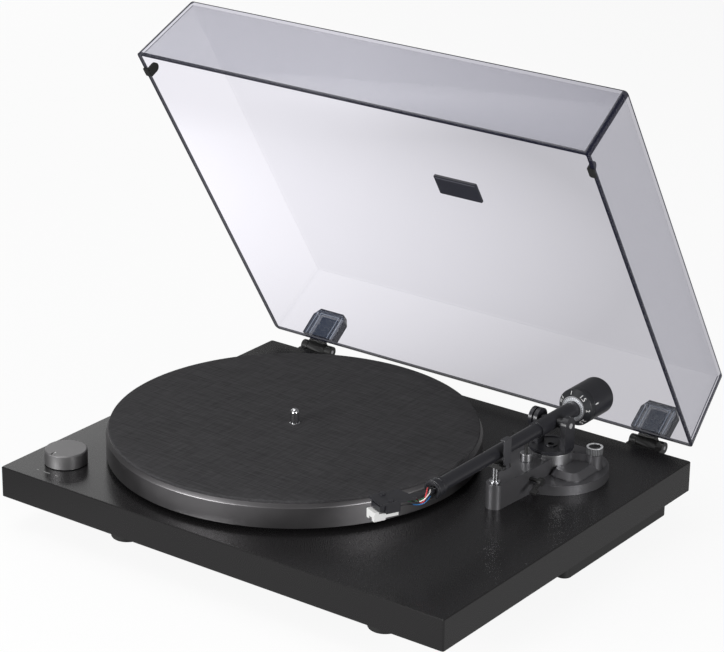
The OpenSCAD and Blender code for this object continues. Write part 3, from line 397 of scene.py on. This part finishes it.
def socket_finish():
    """Clear moulded hinge socket: painted shade along its edges, with painted highlights on the ribs inside.
    """
    size = bpy.context.scene.turntable_cover
    middle = 169.5 * MM  # From the cover's middle to a socket's
    rim_side, rim_top, rim_corner = 15.7 * MM, 29.3 * MM, 42.2 * MM
    outer_rib, outer_half, rib_end = 13.2 * MM, 0.45 * MM, 27 * MM
    inner_rib, inner_half = 9.6 * MM, 0.4 * MM
    bar_high, bar_half, bar_end = 26.2 * MM, 0.4 * MM, 10 * MM
    painted_edge_shade, painted_rib_highlight = (0.008, 0.01, 0.02), (0.42, 0.47, 0.58)

    finish = Finish("socket_clear", IOR=ACRYLIC_IOR)
    lean = math.atan2(size.lean_rear, size.height)
    up = opened().to_3x3() @ Vector((0, -math.sin(lean), math.cos(lean)))
    high = finish.towards(opened() @ Vector((0, -size.rear, size.rim)), up)
    aside = (finish.split(finish.place(), 0).size() - middle).size()
    rim = ((aside > rim_side) + (high > rim_top) + (aside + high > rim_corner)).between(0, 1)
    outer = (aside - outer_rib).size() < outer_half
    inner = (aside - inner_rib).size() < inner_half
    bar = ((high - bar_high).size() < bar_half) * (aside < bar_end)
    # Painted highlights on the ribs and the bar, and painted shade on the rim
    light = ((outer + inner) * (high < rib_end) + bar).between(0, 1) * (1 - rim)
    cloud = finish.noise(finish.place(), 160)
    body = finish.blend(cloud, (0.03, 0.042, 0.07), (0.055, 0.07, 0.105))
    shade = finish.blend(rim, finish.blend(light * 0.6, body, painted_rib_highlight), painted_edge_shade)
    finish.set(Base_Color=shade, Alpha=rim * 0.3 + light * 0.1 + 0.62, Roughness=cloud * 0.1 + 0.1)
    return finish.material


def badge_finish():
    """Black plate with a painted highlight: one fine grey line below its upper edge."""
    centre = opened() @ Vector((0, -183.05 * MM, 70.5 * MM))
    line_shift, line_half_width, line_half_length = 8.6 * MM, 0.45 * MM, 19.4 * MM
    black, grey = (0.008, 0.008, 0.010), (0.16, 0.16, 0.18)
    finish = Finish("badge_black")
    down = finish.towards(centre, opened().to_3x3() @ Vector((0, 1, 0)))
    aside = finish.split(finish.place(), 0).size()
    # Painted highlight: a thin grey line along the plate
    line = ((down + line_shift).size() < line_half_width) * (aside < line_half_length)
    grain = finish.noise(finish.place(), 700)
    finish.set(Base_Color=finish.blend(line, black, grey), Roughness=grain * 0.1 + 0.3)
    return finish.bump(grain, 0.000006).material


def sleeve(name, shade, low, high):
    """Thin lead: coloured between two places along the arm, and black elsewhere."""
    black = (0.015, 0.015, 0.016)
    finish = Finish("sleeve_" + name, shade)
    along = finish.towards(PIVOT, ARM_BACK)
    coloured = (along > low) * (along < high)
    polish = finish.noise(finish.place(), 900)
    finish.set(Base_Color=finish.blend(coloured, black, shade), Roughness=polish * 0.1 + 0.35)
    return finish.bump(polish, 0.000008).material


def board_finish():
    """Green lacquer with faint copper tracks."""
    finish = Finish("board_lacquer", (0.02, 0.14, 0.05))
    flat = finish.place(stretch=(1, 1, 0.01))
    lines = finish.node("ShaderNodeTexBrick", None, {
        "Vector": flat, "Scale": 60.0, "Mortar Size": 0.06, "Mortar Smooth": 0.1}, "Fac")
    finish.set(Base_Color=finish.blend(lines, (0.012, 0.10, 0.035), (0.03, 0.2, 0.07)),
               Roughness=lines * 0.1 + 0.3)
    return finish.bump(lines, 0.00003).material


# ---------------------------------------------------------------- mesh helpers


def piece(name, mesh_maker, body, material, place):
    """A finished piece: made in its own frame, then put in its place in the mesh."""
    bm = bmesh.new()
    mesh_maker(bm)
    bm.transform(place)
    bmesh.ops.recalc_face_normals(bm, faces=bm.faces)
    return finished(name, bm, body, [material])


def finished(name, bm, body, materials):
    """An object from a bmesh whose points are in place, riding on a body."""
    mesh = bpy.data.meshes.new(name)
    bm.to_mesh(mesh)
    bm.free()
    made = bpy.data.objects.new(name, mesh)
    bpy.context.scene.collection.objects.link(made)
    for material in materials:
        mesh.materials.append(material)
    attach(made, body)
    return made


def lathe(bm, profile, steps):
    """Turns a profile of (radius, height) points once round Z."""
    verts = [bm.verts.new((r, 0, z)) for r, z in profile]
    edges = [bm.edges.new(pair) for pair in zip(verts, verts[1:])]
    bmesh.ops.spin(bm, geom=verts + edges, cent=(0, 0, 0), axis=UP, angle=2 * math.pi,
                   steps=steps, use_merge=True)
    bmesh.ops.remove_doubles(bm, verts=bm.verts, dist=1e-7)


def quarter(cx, cz, radius, steps=5):
    """Points of a quarter circle from its right to its top, for a rounded edge of a profile."""
    turns = [math.pi / 2 * i / steps for i in range(steps + 1)]
    return [(cx + radius * math.cos(t), cz + radius * math.sin(t)) for t in turns]


def block(bm, size, place=Matrix.Identity(4)):
    """A box of three sizes, centred on its place."""
    bmesh.ops.create_cube(bm, size=1, matrix=place @ Matrix.Diagonal((*size, 1)))


def smooth(made, limit=35):
    """Smooth shading, but for edges sharper than the limit in degrees."""
    for face in made.data.polygons:
        face.use_smooth = True
    made.data.set_sharp_from_angle(angle=math.radians(limit))


def soften(node, width):
    """Rounds the hard edges of a CAD node by modifiers, so that they catch the light."""
    made = frame["nodes"][node]
    weld = made.modifiers.new("Weld", "WELD")
    weld.merge_threshold = 2e-6
    flat = made.modifiers.new("Planar", "DECIMATE")
    flat.decimate_type = "DISSOLVE"
    flat.angle_limit = math.radians(0.4)
    bevel = made.modifiers.new("Bevel", "BEVEL")
    bevel.width = width
    bevel.segments = 2
    bevel.limit_method = "ANGLE"
    bevel.angle_limit = math.radians(32)
    bevel.use_clamp_overlap = True
    shade = made.modifiers.new("Normals", "WEIGHTED_NORMAL")
    shade.keep_sharp = False


def from_curve(curve):
    """The bmesh of a text or a curve."""
    holder = bpy.data.objects.new("holder", curve)
    bpy.context.scene.collection.objects.link(holder)
    bpy.context.view_layer.update()
    shaped = holder.evaluated_get(bpy.context.evaluated_depsgraph_get())
    bm = bmesh.new()
    bm.from_mesh(bpy.data.meshes.new_from_object(shaped))
    bpy.data.objects.remove(holder)
    return bm


def lettering(text, size):
    """A number, flat in its own frame and centred."""
    curve = bpy.data.curves.new("lettering", "FONT")
    curve.body, curve.size = text, size
    curve.align_x, curve.align_y = "CENTER", "CENTER"
    curve.extrude = 0.02 * MM
    return from_curve(curve)


def cord(name, points, radius):
    """A thin round lead through points given in millimetres."""
    curve = bpy.data.curves.new(name, "CURVE")
    curve.dimensions = "3D"
    curve.bevel_depth, curve.bevel_resolution, curve.resolution_u = radius, 3, 8
    curve.use_fill_caps = True
    spline = curve.splines.new("BEZIER")
    spline.bezier_points.add(len(points) - 1)
    for knot, point in zip(spline.bezier_points, points):
        knot.co = Vector(point) * MM
        knot.handle_left_type = knot.handle_right_type = "AUTO"
    return from_curve(curve)


def opened():
    """From the closed cover's frame, counted from the hinge axis, to its open place."""
    tilt = JOINTS["lid_hinge"]["range_deg"][0]
    return Matrix.Translation(HINGE) @ Matrix.Rotation(math.radians(tilt), 4, "X")


# Material slots of the dust cover
SHEET, EDGE, FRONT_WALL, LIT_EDGE, SIDE_WALL, FAR_WALL = range(6)


def cover_skin(bm, size):
    """The closed cover's outer skin: a box without a floor, its sides leaning in, its edges round."""
    bmesh.ops.create_cube(bm, size=1)
    low, high = size.rim, size.rim + size.height
    for vert in bm.verts:
        side, back, top = vert.co.x > 0, vert.co.y > 0, vert.co.z > 0
        width = size.half_width - (size.draft if top else 0)
        rear = -size.rear - (size.lean_rear if top else 0)
        front = -size.front + (size.lean_front if top else 0)
        vert.co = Vector((width if side else -width, rear if back else front, high if top else low))
    floor = [f for f in bm.faces if f.normal.z < -0.9]
    bmesh.ops.delete(bm, geom=floor, context="FACES_ONLY")
    upright = [e for e in bm.edges if abs(e.verts[0].co.z - e.verts[1].co.z) > size.height / 2]
    bmesh.ops.bevel(bm, geom=upright, offset=size.corner, segments=5, profile=0.5,
                    affect="EDGES", material=-1)
    crown = [e for e in bm.edges if all(v.co.z > high - 1e-5 for v in e.verts) and len(e.link_faces) == 2]
    bmesh.ops.bevel(bm, geom=crown, offset=size.edge, segments=3, profile=0.5,
                    affect="EDGES", material=-1)
    bmesh.ops.remove_doubles(bm, verts=bm.verts, dist=1e-6)
    bmesh.ops.recalc_face_normals(bm, faces=bm.faces)
    whole = list(bm.verts) + list(bm.edges) + list(bm.faces)
    bmesh.ops.bisect_plane(bm, geom=whole, dist=1e-7, plane_co=(0, 0, low + size.band), plane_no=UP)


def cover_slot(normal):
    """The material slot of an outer face of the closed cover, from the way it points."""
    flat, mostly, barely = 0.985, 0.9, 0.05
    if max(abs(part) for part in normal) <= flat:
        # Painted light: rounded edges facing left or back are left nearly clear, the others dark
        return LIT_EDGE if normal.x < barely and normal.y > -barely else EDGE
    if normal.y < -mostly:
        return FRONT_WALL
    if normal.x > mostly:
        return SIDE_WALL
    return SHEET if normal.z > mostly else FAR_WALL


# ---------------------------------------------------------------- pieces


class TURNTABLE_OT_finishes(bpy.types.Operator):
    """Gives every CAD node its own finish and rounds the edges that catch the light"""

    bl_idname = "turntable.finishes"
    bl_label = "Finish the CAD nodes"

    def execute(self, context):
        look = context.scene.turntable_finish
        black = moulded("arm_satin_black", look.black, 0.32, 700, 0.00001)
        gloss = moulded("tube_gloss_black", look.black, 0.3, 500, 0.000004)
        plastic = moulded("black_plastic", (0.018, 0.018, 0.018), 0.42)
        rubber = moulded("black_rubber", (0.012, 0.012, 0.012), 0.7, 600, 0.00004)
        grey = moulded("arm_base_grey", look.base, 0.42, 800, 0.00002, Metallic=0.8)
        zinc = turned("zinc", (0.55, 0.55, 0.57), (0, 0, 0), 0.35)
        chrome = turned("chrome", (0.75, 0.75, 0.77), SPINDLE, 0.14, depth=0.000002)
        steel = turned("motor_steel", (0.42, 0.42, 0.44), JOINTS["pulley_spin"]["pos_m"], 0.4)
        brass = turned("brass", (0.62, 0.44, 0.18), SPINDLE, 0.3)
        silver = turned("turret_silver", look.silver, PIVOT, 0.34)
        post = turned("post_chrome", (0.62, 0.62, 0.64), PIVOT, 0.2)
        dark_metal = turned("platter_metal", look.platter, SPINDLE, 0.4)
        knob_metal = turned("knob_metal", (0.30, 0.295, 0.30), KNOB, 0.5)
        white = moulded("stylus_white", (0.80, 0.80, 0.79), 0.3)
        clip = moulded("clip_satin", (0.05, 0.05, 0.055), 0.3)
        bright = moulded("screw_silver", (0.62, 0.62, 0.63), 0.32, Metallic=0.4)
        finishes = {
            foil(look.plinth): ["plinth"],
            moulded("tray_black", (0.012, 0.012, 0.012), 0.5, 500): ["bottom_pan", "front_foot_blocks"],
            rubber: ["feet", "motor_grommets", "drive_belt", "cover_bumpers"],
            zinc: ["pan_screws", "motor_screws", "board_screws", "hinge_screws", "hinge_pins", "thrust_ball",
                   "stylus_cantilever"],
            chrome: ["spindle", "phono_sockets", "knob_shaft"],
            brass: ["bearing_housing", "motor_pulley", "ground_post"],
            steel: ["motor", "motor_plate", "motor_shaft"],
            board_finish(): ["circuit_board"],
            plastic: ["dc_inlet", "switch_frame", "speed_switch", "hinge_brackets", "hinge_leaves",
                      "arm_rest", "cue_lever", "lift_piston", "line_switch", "sub_platter"],
            clip: ["arm_clip"],
            bright: ["pivot_screws"],
            grey: ["arm_base", "arm_cover"],
            silver: ["turret_collar", "lift_housing"],
            post: ["rest_post", "yaw_post"],
            dark_metal: ["platter"],
            felt(look.mat): ["slip_mat"],
            knob_metal: ["speed_knob"],
            ringed_knob(SKATE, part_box("anti_skate_knob")[1].z): ["anti_skate_knob"],
            socket_finish(): ["cover_sockets"],
            badge_finish(): ["badge_plate"],
            black: ["yoke", "pivot_housing", "head_collar", "headshell", "cartridge_body",
                    "headshell_screws"],
            gloss: ["arm_tube"],
            white: ["stylus_holder"],
            weight_finish(look.black, (0.78, 0.80, 0.84)): ["counterweight"],
            dial_finish((0.02, 0.021, 0.024), (0.55, 0.55, 0.57)): ["tracking_dial"],
        }
        for material, nodes in finishes.items():
            for node in nodes:
                mesh = frame["nodes"][node].data
                mesh.materials.clear()
                mesh.materials.append(material)
        edges = {
            0.3 * MM: ["speed_knob", "arm_base", "turret_collar", "lift_housing", "arm_rest", "arm_clip",
                       "cue_lever", "yoke", "head_collar", "headshell", "cartridge_body", "stylus_holder",
                       "counterweight", "tracking_dial", "anti_skate_knob", "badge_plate", "rest_post"],
            0.5 * MM: ["platter", "cover_sockets", "hinge_leaves", "hinge_brackets", "pivot_housing"],
            0.8 * MM: ["feet"],
        }
        for width, nodes in edges.items():
            for node in nodes:
                soften(node, width)
        return {"FINISHED"}


class TURNTABLE_OT_dust_cover(bpy.types.Operator):
    """Builds the smoked dust cover with rounded, darker edges"""

    bl_idname = "turntable.dust_cover"
    bl_label = "Dust cover"

    def execute(self, context):
        size = context.scene.turntable_cover
        bm = bmesh.new()
        cover_skin(bm, size)
        outer = list(bm.faces)
        for face in outer:
            face.material_index = cover_slot(face.normal)
        bmesh.ops.solidify(bm, geom=outer, thickness=size.wall)
        band_top = size.rim + size.band + 0.1 * MM
        for face in bm.faces:
            if all(vert.co.z < band_top for vert in face.verts):
                face.material_index = EDGE
        bm.transform(opened())
        look = {
            # Copies of one sheet: painted light on the far walls, which also darken less at a slant, and
            # painted shade on the side and front walls
            SHEET: smoked("cover_sheet", size.smoke, size.haze),
            EDGE: clear_edge("cover_edge", size.edge_tint, 0.94),
            FRONT_WALL: smoked("cover_front", size.smoke, size.front_haze_and_shade),
            LIT_EDGE: clear_edge("cover_lit_edge", size.smoke, 0.04),
            SIDE_WALL: smoked("cover_side", size.smoke, size.side_haze_and_shade),
            FAR_WALL: smoked("cover_far", size.smoke, size.far_haze_and_light, 0.1),
        }
        cover = finished("smoked_cover", bm, "lid", [look[slot] for slot in sorted(look)])
        smooth(cover, 20)
        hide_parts("dust_cover")
        return {"FINISHED"}


class TURNTABLE_OT_mat(bpy.types.Operator):
    """Lays the felt mat on the platter"""

    bl_idname = "turntable.mat"
    bl_label = "Slip mat"

    def execute(self, context):
        thick = MAT_HIGH.z - MAT_LOW.z
        radius = (MAT_HIGH.x - MAT_LOW.x) / 2
        hole, chamfer, soft, rings = 4.6 * MM, 0.2 * MM, 0.7 * MM, 9

        def make(bm):
            profile = [(hole, 0), (hole, thick - chamfer), (hole + chamfer, thick)]
            profile += [(radius * ring / rings, thick) for ring in range(1, rings)]
            profile += list(reversed(quarter(radius - soft, thick - soft, soft)))
            profile += [(radius, 0), (hole, 0)]
            lathe(bm, profile, 160)

        place = Matrix.Translation((SPINDLE.x, SPINDLE.y, MAT_LOW.z))
        mat = piece("felt_mat", make, "platter", bpy.data.materials["felt_weave"], place)
        smooth(mat)
        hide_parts("slip_mat")
        return {"FINISHED"}


class TURNTABLE_OT_spindle(bpy.types.Operator):
    """Turns the spindle with its rounded tip"""

    bl_idname = "turntable.spindle"
    bl_label = "Spindle"

    def execute(self, context):
        low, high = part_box("spindle")
        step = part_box("sub_platter")[1].z - 4 * MM
        shaft, shoulder, pin = 3 * MM, 4.3 * MM, 3.6 * MM
        foot, chamfer = 0.4 * MM, 0.2 * MM

        def make(bm):
            profile = [(0, low.z), (shaft - foot, low.z), (shaft, low.z + foot), (shaft, step)]
            profile += [(shoulder, step), (shoulder, MAT_HIGH.z - chamfer),
                        (shoulder - chamfer, MAT_HIGH.z), (pin, MAT_HIGH.z)]
            profile += quarter(0, high.z - pin, pin, 8)
            profile[-1] = (0, high.z)
            lathe(bm, profile, 48)

        place = Matrix.Translation((SPINDLE.x, SPINDLE.y, 0))
        made = piece("record_pin", make, "platter", bpy.data.materials["chrome"], place)
        smooth(made)
        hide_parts("spindle")
        return {"FINISHED"}


class TURNTABLE_OT_marks(bpy.types.Operator):
    """Prints the knob's three marks and lays the light line in its pointer"""

    bl_idname = "turntable.marks"
    bl_label = "Marks"

    def execute(self, context):
        print_white = context.scene.turntable_finish.print_white
        white = moulded("print_white", print_white, 0.5)
        faint = moulded("print_grey", scaled_shade(print_white, 0.4), 0.5)
        row, wide, thick, above = -24.5 * MM, 0.9 * MM, 0.04 * MM, 0.03 * MM
        for name, shift, long in (("left", -8.0, 2.2), ("middle", 1.6, 6.6), ("right", 12.1, 3.2)):
            def make(bm):
                block(bm, (long * MM, wide, thick))

            spot = Matrix.Translation((KNOB.x + shift * MM, KNOB.y + row, PLINTH_TOP + above))
            piece("mark_" + name, make, "base", faint, spot)

        def inlay(bm):
            block(bm, (5.6 * MM, 1.1 * MM, 0.2 * MM))

        pointing, out, inset = math.radians(-95), 13.2 * MM, 0.25 * MM
        knob_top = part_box("speed_knob")[1].z
        place = (Matrix.Translation((KNOB.x, KNOB.y, knob_top - inset))
                 @ Matrix.Rotation(pointing, 4, "Z") @ Matrix.Translation((out, 0, 0)))
        piece("knob_pointer", inlay, "knob", white, place)
        return {"FINISHED"}


class TURNTABLE_OT_dial(bpy.types.Operator):
    """Prints the tracking dial's numbers and the ticks of its silver ring"""

    bl_idname = "turntable.dial"
    bl_label = "Dial numbers"

    def execute(self, context):
        white = bpy.data.materials["print_white"]
        dark = bpy.data.materials["black_plastic"]
        # The dial's face is a shallow cone, from its mouth at the front outwards and back
        front, mouth, middle = 31.4 * MM, 10.5 * MM, 12.7 * MM
        cone_deep, cone_wide, sunk = 4.0, 4.9, 0.06 * MM
        along = front + (middle - mouth) * cone_deep / cone_wide - sunk
        lying = math.radians(90) - math.atan2(cone_deep, cone_wide)
        first, step = -118, 51.4
        for i, text in enumerate(["0", "0.5", "1", "1.5", "2", "2.5", "3"]):
            bm = lettering(text, 4.7 * MM)
            bm.transform(ARM @ Matrix.Rotation(math.radians(first + step * i), 4, "Y")
                         @ Matrix.Translation((0, along, middle)) @ Matrix.Rotation(lying, 4, "X"))
            finished(f"dial_number_{i}", bm, "dial", [white])

        def round_arm(degrees, along, radius):
            return Matrix.Rotation(math.radians(degrees), 4, "Y") @ Matrix.Translation((0, along, radius))

        def ticks(bm):
            count = 30
            for i in range(count):
                spot = round_arm(360 * i / count, front - 0.42 * MM, 8.5 * MM)
                block(bm, (0.25 * MM, 0.06 * MM, 1.3 * MM), spot)

        def mark(bm):
            block(bm, (1.0 * MM, 4.4 * MM, 0.1 * MM), round_arm(74, front + 12.2 * MM, 15.42 * MM))

        piece("hub_ticks", ticks, "weight", dark, ARM)
        piece("weight_mark", mark, "weight", white, ARM)
        return {"FINISHED"}


class TURNTABLE_OT_leads(bpy.types.Operator):
    """Runs the four coloured leads from the arm's mouth to the cartridge"""

    bl_idname = "turntable.leads"
    bl_label = "Head leads"

    def execute(self, context):
        # Places in millimetres in the arm's frame, whose head stands turned and to one side
        mouth, pin_end, pin_long = -167.5, 11.02, 4
        shift, line, angle = 17.5, 200.8, math.radians(24.5)
        colour_from, colour_to, thick = -186 * MM, -173 * MM, 0.5 * MM

        def head(x, y):
            return (-shift + x * math.cos(angle) + y * math.sin(angle),
                    -line - x * math.sin(angle) + y * math.cos(angle))

        def to_pin(x, z):
            return [(*head(x, pin_end + pin_long), z), (*head(x, pin_end), z)]

        leads = {
            "white": ((0.8, 0.78, 0.76), [
                (1.4, mouth + 3, 2.4), (1.8, mouth - 4, 2.8), (4.4, mouth - 11, 1.6),
                (2.4, mouth - 17.5, -2), *to_pin(3.2, -3.5)]),
            "red": ((0.62, 0.04, 0.05), [
                (-1.4, mouth + 3, 2.4), (-0.4, mouth - 5, 3.6), (3.2, mouth - 12, 2.8),
                (2.8, mouth - 16, -3.4), (-5, mouth - 14, -3.8), *to_pin(-3.2, -3.5)]),
            "blue": ((0.03, 0.16, 0.42), [
                (1.4, mouth + 3, -2.4), (2.2, mouth - 5, -2.6), (1.6, mouth - 14, -5.6),
                *to_pin(3.2, -6.5)]),
            "green": ((0.04, 0.32, 0.12), [
                (-1.4, mouth + 3, -2.4), (-0.8, mouth - 5, -3.2), (-5, mouth - 11, -6.2),
                *to_pin(-3.2, -6.5)]),
        }
        for name, (shade, points) in leads.items():
            bm = cord("lead_" + name, points, thick)
            bm.transform(ARM)
            lead = finished("lead_" + name, bm, "arm",
                            [sleeve(name, shade, colour_from, colour_to)])
            smooth(lead, 60)
        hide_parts("head_leads")
        return {"FINISHED"}


# ---------------------------------------------------------------- stage


def paper():
    """Pale studio paper that takes the object's shadow.

    Its own light keeps it near white to the camera. Where it is seen through the cover, a painted shade
    makes it fade with the distance and to the right, standing in for the light and shade on the cover, and
    glossy faces mirror a painted glow that is darker on the left."""
    open_tone, cover_tint = 0.9, (1.0, 0.985, 1.055)
    finish = Finish("studio_paper", (0.1, 0.1, 0.1), Roughness=0.9, Specular_IOR_Level=0.0)
    camera, glossy, depth = (
        finish.node("ShaderNodeLightPath", output=name)
        for name in ("Is Camera Ray", "Is Glossy Ray", "Transparent Depth"))
    through = depth > 0.5
    # Painted shade: behind the cover the paper's light follows a fitted sum of the place and takes a tint,
    # standing in for the cover's light and shade
    aside = finish.towards((0, 0, 0), (0.806, 0.592, 0))
    away = finish.towards((0, 0, 0), (-0.592, 0.806, 0))
    near = (aside * -0.474 - aside * aside * 0.551 + away * 1.604 - away * away * 1.115
            - aside * away * 0.733 + 0.225).between(0.5, 0.97)
    far = (0.81 - aside * 0.9).between(0.5, 0.83)
    beyond = finish.ramp(away, 1.02, 1.18, 0.0, 1.0)
    painted_shade_behind_cover = near * (1 - beyond) + far * beyond
    shaded_paper_behind_cover = finish.scaled(cover_tint, camera * through * painted_shade_behind_cover)
    # Painted reflection: what glossy faces mirror of the paper is dimmer on the left
    painted_reflection_glow = finish.ramp(aside, -0.42, -0.28, 0.15, 0.33)
    plain = finish.scaled((1.0, 1.0, 1.0), camera * (1 - through) * open_tone + glossy * painted_reflection_glow)
    finish.set(Emission_Color=finish.vector("ADD", shaded_paper_behind_cover, plain))
    finish.shader.inputs["Emission Strength"].default_value = 1.0
    return finish.material


class TURNTABLE_OT_stage(bpy.types.Operator):
    """Sets the floor, the soft lights, the world and the camera"""

    bl_idname = "turntable.stage"
    bl_label = "Stage"

    def execute(self, context):
        scene = context.scene
        bm = bmesh.new()
        bmesh.ops.create_circle(bm, cap_ends=True, radius=12, segments=64)
        mesh = bpy.data.meshes.new("floor")
        bm.to_mesh(mesh)
        bm.free()
        mesh.materials.append(paper())
        floor = bpy.data.objects.new("floor", mesh)
        scene.collection.objects.link(floor)
        self.lamp("soft_top", (-0.5, -0.2, 1.9), (0, 0, 0.05), (1.8, 1.4), 14)
        self.lamp("soft_back_left", (-1.8, 0.95, 0.62), (-0.1, 0, 0.05), (1.3, 0.9), 4.5)
        self.lamp("soft_front", (-0.5, -1.7, 0.42), (0, 0, 0.05), (0.9, 0.5), 28)
        self.lamp("soft_right", (1.7, -0.35, 0.40), (0, 0, 0.05), (0.7, 0.5), 18)
        self.world(scene)
        self.camera(scene, scene.turntable_stage)
        scene.view_settings.view_transform = "Standard"
        return {"FINISHED"}

    def lamp(self, name, place, target, size, power):
        """A soft area lamp of two sizes, aimed at a target."""
        data = bpy.data.lights.new(name, "AREA")
        data.shape, data.size, data.size_y, data.energy = "RECTANGLE", *size, power
        lamp = bpy.data.objects.new(name, data)
        bpy.context.scene.collection.objects.link(lamp)
        lamp.location = place
        aim = Vector(target) - Vector(place)
        lamp.rotation_euler = aim.to_track_quat("-Z", "Y").to_euler()

    def world(self, scene):
        """An even dim light from all round, with a pale backdrop to the camera."""
        dim, backdrop = 0.17, 0.95
        world = bpy.data.worlds.new("studio")
        world.use_nodes = True
        tree = world.node_tree
        sky = tree.nodes["Background"]
        path = tree.nodes.new("ShaderNodeLightPath")
        mix = tree.nodes.new("ShaderNodeMix")
        mix.data_type = "FLOAT"
        mix.inputs[2].default_value, mix.inputs[3].default_value = dim, backdrop
        tree.links.new(path.outputs["Is Camera Ray"], mix.inputs[0])
        tree.links.new(mix.outputs[0], sky.inputs["Strength"])
        sky.inputs["Color"].default_value = (1, 1, 1, 1)
        scene.world = world

    def camera(self, scene, stage):
        """The camera, looking at its target from the settings' direction."""
        a, e, roll = stage.azimuth, stage.elevation, stage.roll
        back = Vector((math.sin(a) * math.cos(e), -math.cos(a) * math.cos(e), math.sin(e)))
        level = (-back).cross(Vector((0, 0, 1))).normalized()
        upward = level.cross(-back)
        right = math.cos(roll) * level + math.sin(roll) * upward
        up = -math.sin(roll) * level + math.cos(roll) * upward
        data = bpy.data.cameras.new("camera")
        data.lens, data.sensor_width, data.sensor_fit = stage.lens, 36, "HORIZONTAL"
        data.clip_end = 50
        camera = bpy.data.objects.new("camera", data)
        scene.collection.objects.link(camera)
        place = Vector(stage.target) + back * stage.distance
        camera.matrix_world = Matrix.Translation(place) @ Matrix((right, up, back)).transposed().to_4x4()
        scene.camera = camera


class TURNTABLE_PT_panel(bpy.types.Panel):
    """Lists the turntable's pieces"""

    bl_idname = "TURNTABLE_PT_panel"
    bl_label = "Turntable"
    bl_space_type = "VIEW_3D"
    bl_region_type = "UI"
    bl_category = "Turntable"

    def draw(self, context):
        for operator in STEPS:
            self.layout.operator(operator.bl_idname)


STEPS = (
    TURNTABLE_OT_stage,
    TURNTABLE_OT_finishes,
    TURNTABLE_OT_dust_cover,
    TURNTABLE_OT_mat,
    TURNTABLE_OT_spindle,
    TURNTABLE_OT_marks,
    TURNTABLE_OT_dial,
    TURNTABLE_OT_leads,
)
CLASSES = (CoverSettings, FinishSettings, StageSettings, *STEPS, TURNTABLE_PT_panel)


def register():
    for cls in CLASSES:
        bpy.utils.register_class(cls)
    bpy.types.Scene.turntable_cover = bpy.props.PointerProperty(type=CoverSettings)
    bpy.types.Scene.turntable_finish = bpy.props.PointerProperty(type=FinishSettings)
    bpy.types.Scene.turntable_stage = bpy.props.PointerProperty(type=StageSettings)


def unregister():
    for name in ("turntable_cover", "turntable_finish", "turntable_stage"):
        delattr(bpy.types.Scene, name)
    for cls in reversed(CLASSES):
        bpy.utils.unregister_class(cls)


def main():
    register()
    for operator in STEPS:
        group, name = operator.bl_idname.split(".")
        getattr(getattr(bpy.ops, group), name)()


if __name__ == "__main__":
    main()
